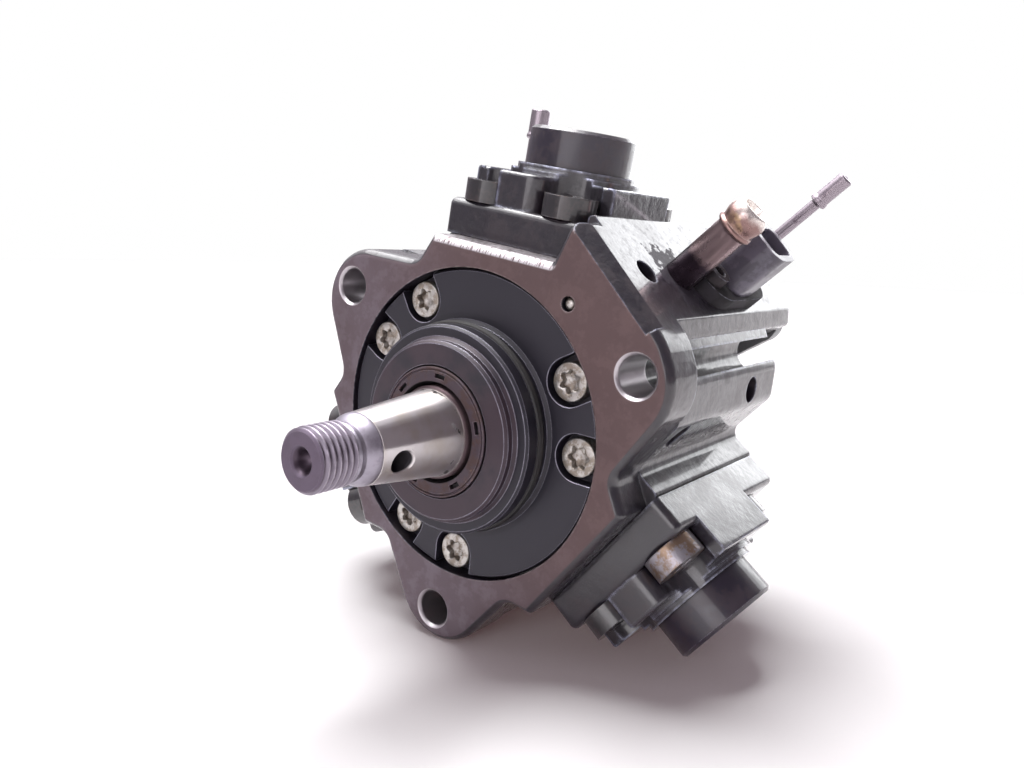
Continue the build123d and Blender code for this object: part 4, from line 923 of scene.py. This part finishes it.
def makeSeal(look):
    # A flat ring turned about the shaft. Its face is pressed in over short arcs, and the lip slopes back.
    turn = np.arange(look["around"]) / look["around"]
    outer, inner, lip = look["outer"], look["inner"], look["lip"]
    deep = look["back"] - look["front"]
    face = [(radius, 0.0) for radius in np.linspace(look["groove"] - 0.15 * mm, inner, 30)[1:]]
    profile = [
        (outer - 3 * mm, deep), (outer, deep), (outer, 0.15 * mm), (outer - 0.12 * mm, 0.0),
        (look["rim"], 0.0), (look["rim"] - 0.1 * mm, 0.35 * mm), (look["groove"], 0.35 * mm),
        (look["groove"] - 0.15 * mm, 0.1 * mm), *face, (inner - 0.1 * mm, 0.25 * mm),
        (look["throat"], 1.6 * mm), (lip, 3.6 * mm), (lip, 4.1 * mm), (look["lipBack"], 4.8 * mm),
        (outer - 3 * mm, deep)]
    radius, depth = np.array(profile).T
    points = ringAt(turn, radius, look["front"] + depth)
    around = np.degrees(2 * math.pi * turn)[None, :]
    pressed = np.zeros((len(radius), look["around"]))
    for angle in look["slotAngles"]:
        off = np.abs((around - angle + 180) % 360 - 180)
        inArc = np.clip((look["slotHalf"] - off) / 0.8, 0, 1)
        inside = np.minimum(radius - look["slotInner"], look["slotOuter"] - radius)
        pressed = np.maximum(pressed, inArc * np.clip(inside / (0.15 * mm), 0, 1)[:, None])
    points[:, :, 1] += pressed * look["slotDepth"]
    return closeMesh(gridMesh("sealRing", points))


addPiece("sealRing", makeSeal(seal), "housing", "seal_rubber", makeSealMaterial(sealLook), "shaft_seal")
print("seal made")


pipe = {
    "foot": (0.7 * mm, 28.2 * mm),
    "slopeAngle": 51.0,
    "slopeDistance": 56.0 * mm,
    "around": 96,
    "profile": (
        (2.9, -8.0), (3.9, -8.0), (3.9, 16.0), (4.05, 16.3), (4.55, 16.7), (4.72, 17.1), (4.6, 17.5),
        (4.3, 17.8), (4.28, 18.2), (4.5, 18.9), (4.68, 19.7), (4.72, 20.5), (4.6, 21.3), (4.3, 22.1),
        (3.95, 22.7), (3.75, 23.0), (3.5, 23.2), (3.1, 23.2), (2.9, 22.9), (2.9, -8.0)),
}


def makePipe(look):
    # A profile of radius and height turned about an axis that stands square on the housing's sloped face.
    turn = np.arange(look["around"]) / look["around"]
    reach, height = np.array(look["profile"]).T * mm
    points = ringAt(turn, reach, height).reshape(-1, 3)
    outward, around = outwardAt(look["slopeAngle"]), outwardAt(look["slopeAngle"] + 90)
    deep = np.array([0.0, 1.0, 0.0])
    base = outward * look["slopeDistance"] + around * look["foot"][0] + deep * look["foot"][1]
    placed = base + points[:, :1] * around + points[:, 1:2] * outward + points[:, 2:] * deep
    return closeMesh(gridMesh("inletPipe", placed.reshape(len(reach), look["around"], 3)), 40)


addPiece("inletPipe", makePipe(pipe), "housing", "pipe_steel", finish["pipeSteel"], "inlet_pipe")
print("pipe made")


screw = {
    "angles": (5, 35, 125, 155, 245, 275),
    "circle": 32.8 * mm,
    "headRadius": 4.5 * mm,
    "headTop": 1.6 * mm,
    "headBase": 4.6 * mm,
    "shankRadius": 2.4 * mm,
    "shankEnd": 15.1 * mm,
    "edge": 0.45 * mm,
    "lobeRadius": 2.35 * mm,
    "lobeDepth": 0.42 * mm,
    "socketDepth": 2.0 * mm,
    "twist": 0.2,
    "twistStep": 0.4,
    "around": 72,
}


def makeScrews(look):
    # Each ring of a screw is a circle, with six lobes inside the socket; rings follow the head's profile.
    spin = np.linspace(0, 2 * math.pi, look["around"], endpoint=False)
    top, base, edge = look["headTop"], look["headBase"], look["edge"]
    head, lobe, shank = look["headRadius"], look["lobeRadius"], look["shankRadius"]
    floor = top + look["socketDepth"]
    profile = np.array([
        (0.0, floor + 0.5 * mm, 0.0), (lobe * 0.55, floor, 0.3), (lobe, floor - 0.1 * mm, 1.0),
        (lobe, top + 0.25 * mm, 1.0), (lobe + 0.2 * mm, top + 0.04 * mm, 0.8), (lobe + 0.45 * mm, top, 0.3),
        (head - edge * 1.5, top + 0.05 * mm, 0.0), (head - edge * 0.45, top + edge * 0.3, 0.0),
        (head - edge * 0.1, top + edge * 0.75, 0.0), (head, top + edge * 1.3, 0.0), (head, base, 0.0),
        (shank, base, 0.0), (shank, look["shankEnd"], 0.0), (0.0, look["shankEnd"], 0.0)])
    reach, depth, lobes = profile.T[:, :, None]
    radius = reach + look["lobeDepth"] * lobes * np.cos(6 * spin)[None, :]
    one = np.stack([radius * np.cos(spin), depth * np.ones_like(radius), radius * np.sin(spin)], -1)
    work = bmesh.new()
    for number, angle in enumerate(look["angles"]):
        twist = look["twist"] + look["twistStep"] * number
        across = np.array(Matrix.Rotation(-twist, 3, "Y"))
        points = one @ across.T + outwardAt(angle) * look["circle"]
        work.from_mesh(closeMesh(gridMesh(f"screw{number}", points), 40))
    mesh = bpy.data.meshes.new("flangeScrews")
    work.to_mesh(mesh)
    work.free()
    return mesh


addPiece("flangeScrews", makeScrews(screw), "housing", "zinc_steel", finish["zincSteel"], "flange_screws")
print("flange screws made")


cameraLook = {
    "place": (0.121875, -0.154703, 0.064085),
    "right": (0.78086, 0.60299, 0.16328),
    "forward": (-0.55738, 0.79052, -0.25377),
    "lens": 29.93,
}


def makeCamera(look):
    data = bpy.data.cameras.new("camera")
    data.lens = look["lens"]
    data.sensor_width = 36
    data.clip_start = 0.001
    camera = bpy.data.objects.new("camera", data)
    scene.collection.objects.link(camera)
    right = Vector(look["right"]).normalized()
    forward = Vector(look["forward"]).normalized()
    up = right.cross(forward).normalized()
    turn = Matrix((right, up, -forward)).transposed().to_4x4()
    camera.matrix_world = Matrix.Translation(look["place"]) @ turn
    scene.camera = camera


floorLook = {
    "normal": (-0.165, 0.0, 0.986),
    "drop": -57.25 * mm,
    "size": 6.0,
    "colour": (0.95, 0.94, 0.95, 1.0),
    "lift": (0.045, 0.022, 0.02, 1.0),
}


def makeFloor(look):
    # A pale sheet; its faint glow is only for what sees it, and lights nothing.
    normal = Vector(look["normal"]).normalized()
    side = Vector((0, 1, 0))
    other = side.cross(normal)
    centre = normal * look["drop"]
    corners = [centre + (side * a + other * b) * look["size"] / 2
               for a, b in ((-1, -1), (1, -1), (1, 1), (-1, 1))]
    mesh = bpy.data.meshes.new("floor")
    mesh.from_pydata([tuple(corner) for corner in corners], [], [(0, 1, 2, 3)])
    floor = bpy.data.objects.new("floor", mesh)
    scene.collection.objects.link(floor)
    made = bpy.data.materials.new("paleFloor")
    tree = emptyTree(made)
    surface = wire(tree, "ShaderNodeBsdfDiffuse", {"Color": look["colour"]}).outputs[0]
    glow = wire(tree, "ShaderNodeEmission", {"Color": look["lift"], "Strength": 1.0}).outputs[0]
    path = wire(tree, "ShaderNodeLightPath").outputs
    seen = largest(tree, path["Is Camera Ray"], path["Is Glossy Ray"], path["Is Transmission Ray"])
    dark = wire(tree, "ShaderNodeEmission", {"Color": (0, 0, 0, 1), "Strength": 0.0}).outputs[0]
    lift = wire(tree, "ShaderNodeMixShader", {0: seen, 1: dark, 2: glow}).outputs[0]
    both = wire(tree, "ShaderNodeAddShader", {0: surface, 1: lift}).outputs[0]
    wire(tree, "ShaderNodeOutputMaterial", {0: both})
    mesh.materials.append(made)


skyLook = {
    "lit": (1.0, 0.97, 1.02, 1.0),
    "dim": (0.25, 0.22, 0.25, 1.0),
    "ambient": (0.18, 0.165, 0.185, 1.0),
    "seen": (1.0, 1.0, 1.0, 1.0),
    "edge": 0.2,
    "edgeSoft": 0.06,
    "height": 0.12,
    "heightSoft": 0.1,
}


def makeSky(look):
    # Bright to the left above the horizon, dim elsewhere, even for soft light, and white where it is seen.
    world = bpy.data.worlds.new("paleRoom")
    scene.world = world
    tree = emptyTree(world)
    direction = split(tree, wire(tree, "ShaderNodeTexCoord").outputs["Generated"])
    left = band(tree, direction[0], look["edge"] + look["edgeSoft"], look["edge"] - look["edgeSoft"])
    high = band(tree, direction[2], look["height"] - look["heightSoft"], look["height"] + look["heightSoft"])
    path = wire(tree, "ShaderNodeLightPath").outputs
    shade = mixColour(tree, product(tree, left, high), look["dim"], look["lit"])
    shade = mixColour(tree, path["Is Diffuse Ray"], shade, look["ambient"])
    shade = mixColour(tree, path["Is Camera Ray"], shade, look["seen"])
    background = wire(tree, "ShaderNodeBackground", {"Color": shade, "Strength": 1.0}).outputs[0]
    wire(tree, "ShaderNodeOutputWorld", {0: background})


sunLook = {
    "key": {"from": (-0.42, 0.06, 0.9), "angle": 34, "strength": 3.4, "colour": (1.0, 1.0, 1.0)},
    "fill": {"from": (0.15, -0.98, 0.12), "angle": 50, "strength": 1.25, "colour": (1.0, 0.96, 0.99)},
}


def makeSun(name, look):
    data = bpy.data.lights.new(name, "SUN")
    data.energy = look["strength"]
    data.angle = math.radians(look["angle"])
    data.color = look["colour"]
    sun = bpy.data.objects.new(name, data)
    scene.collection.objects.link(sun)
    sun.rotation_euler = (-Vector(look["from"])).to_track_quat("-Z", "Y").to_euler()
    sun.visible_camera = False


lampLook = {
    "window": {
        "place": (-0.1, 0.95, 0.34), "aim": (0.0, 0.0, 0.02), "wide": 1.05, "high": 0.62, "watts": 6.0,
        "colour": (0.97, 0.99, 1.0),
    },
    "ceiling": {
        "place": (-0.45, -0.05, 0.82), "aim": (0.0, 0.0, 0.0), "wide": 1.0, "high": 1.0, "watts": 12.0,
        "colour": (1.0, 0.99, 1.0),
    },
    "floorGlint": {
        "place": (0.3, 0.95, -0.004), "aim": (0.29, 0.95, 1.0), "wide": 0.6, "high": 1.1, "watts": 4.0,
        "colour": (1.0, 1.0, 1.0),
    },
}


def makeLamp(name, look):
    # A bright panel that is seen in reflections and doesn't light what is dull.
    data = bpy.data.lights.new(name, "AREA")
    data.shape = "RECTANGLE"
    data.size = look["wide"]
    data.size_y = look["high"]
    data.energy = look["watts"]
    data.color = look["colour"]
    lamp = bpy.data.objects.new(name, data)
    scene.collection.objects.link(lamp)
    lamp.location = look["place"]
    toward = Vector(look["aim"]) - Vector(look["place"])
    lamp.rotation_euler = toward.to_track_quat("-Z", "Y").to_euler()
    lamp.visible_camera = False
    lamp.visible_diffuse = False


makeCamera(cameraLook)
makeFloor(floorLook)
makeSky(skyLook)
for lampName, lampValues in sunLook.items():
    makeSun(lampName, lampValues)
for lampName, lampValues in lampLook.items():
    makeLamp(lampName, lampValues)
scene.view_settings.view_transform = "Standard"
print("camera, floor and light made")
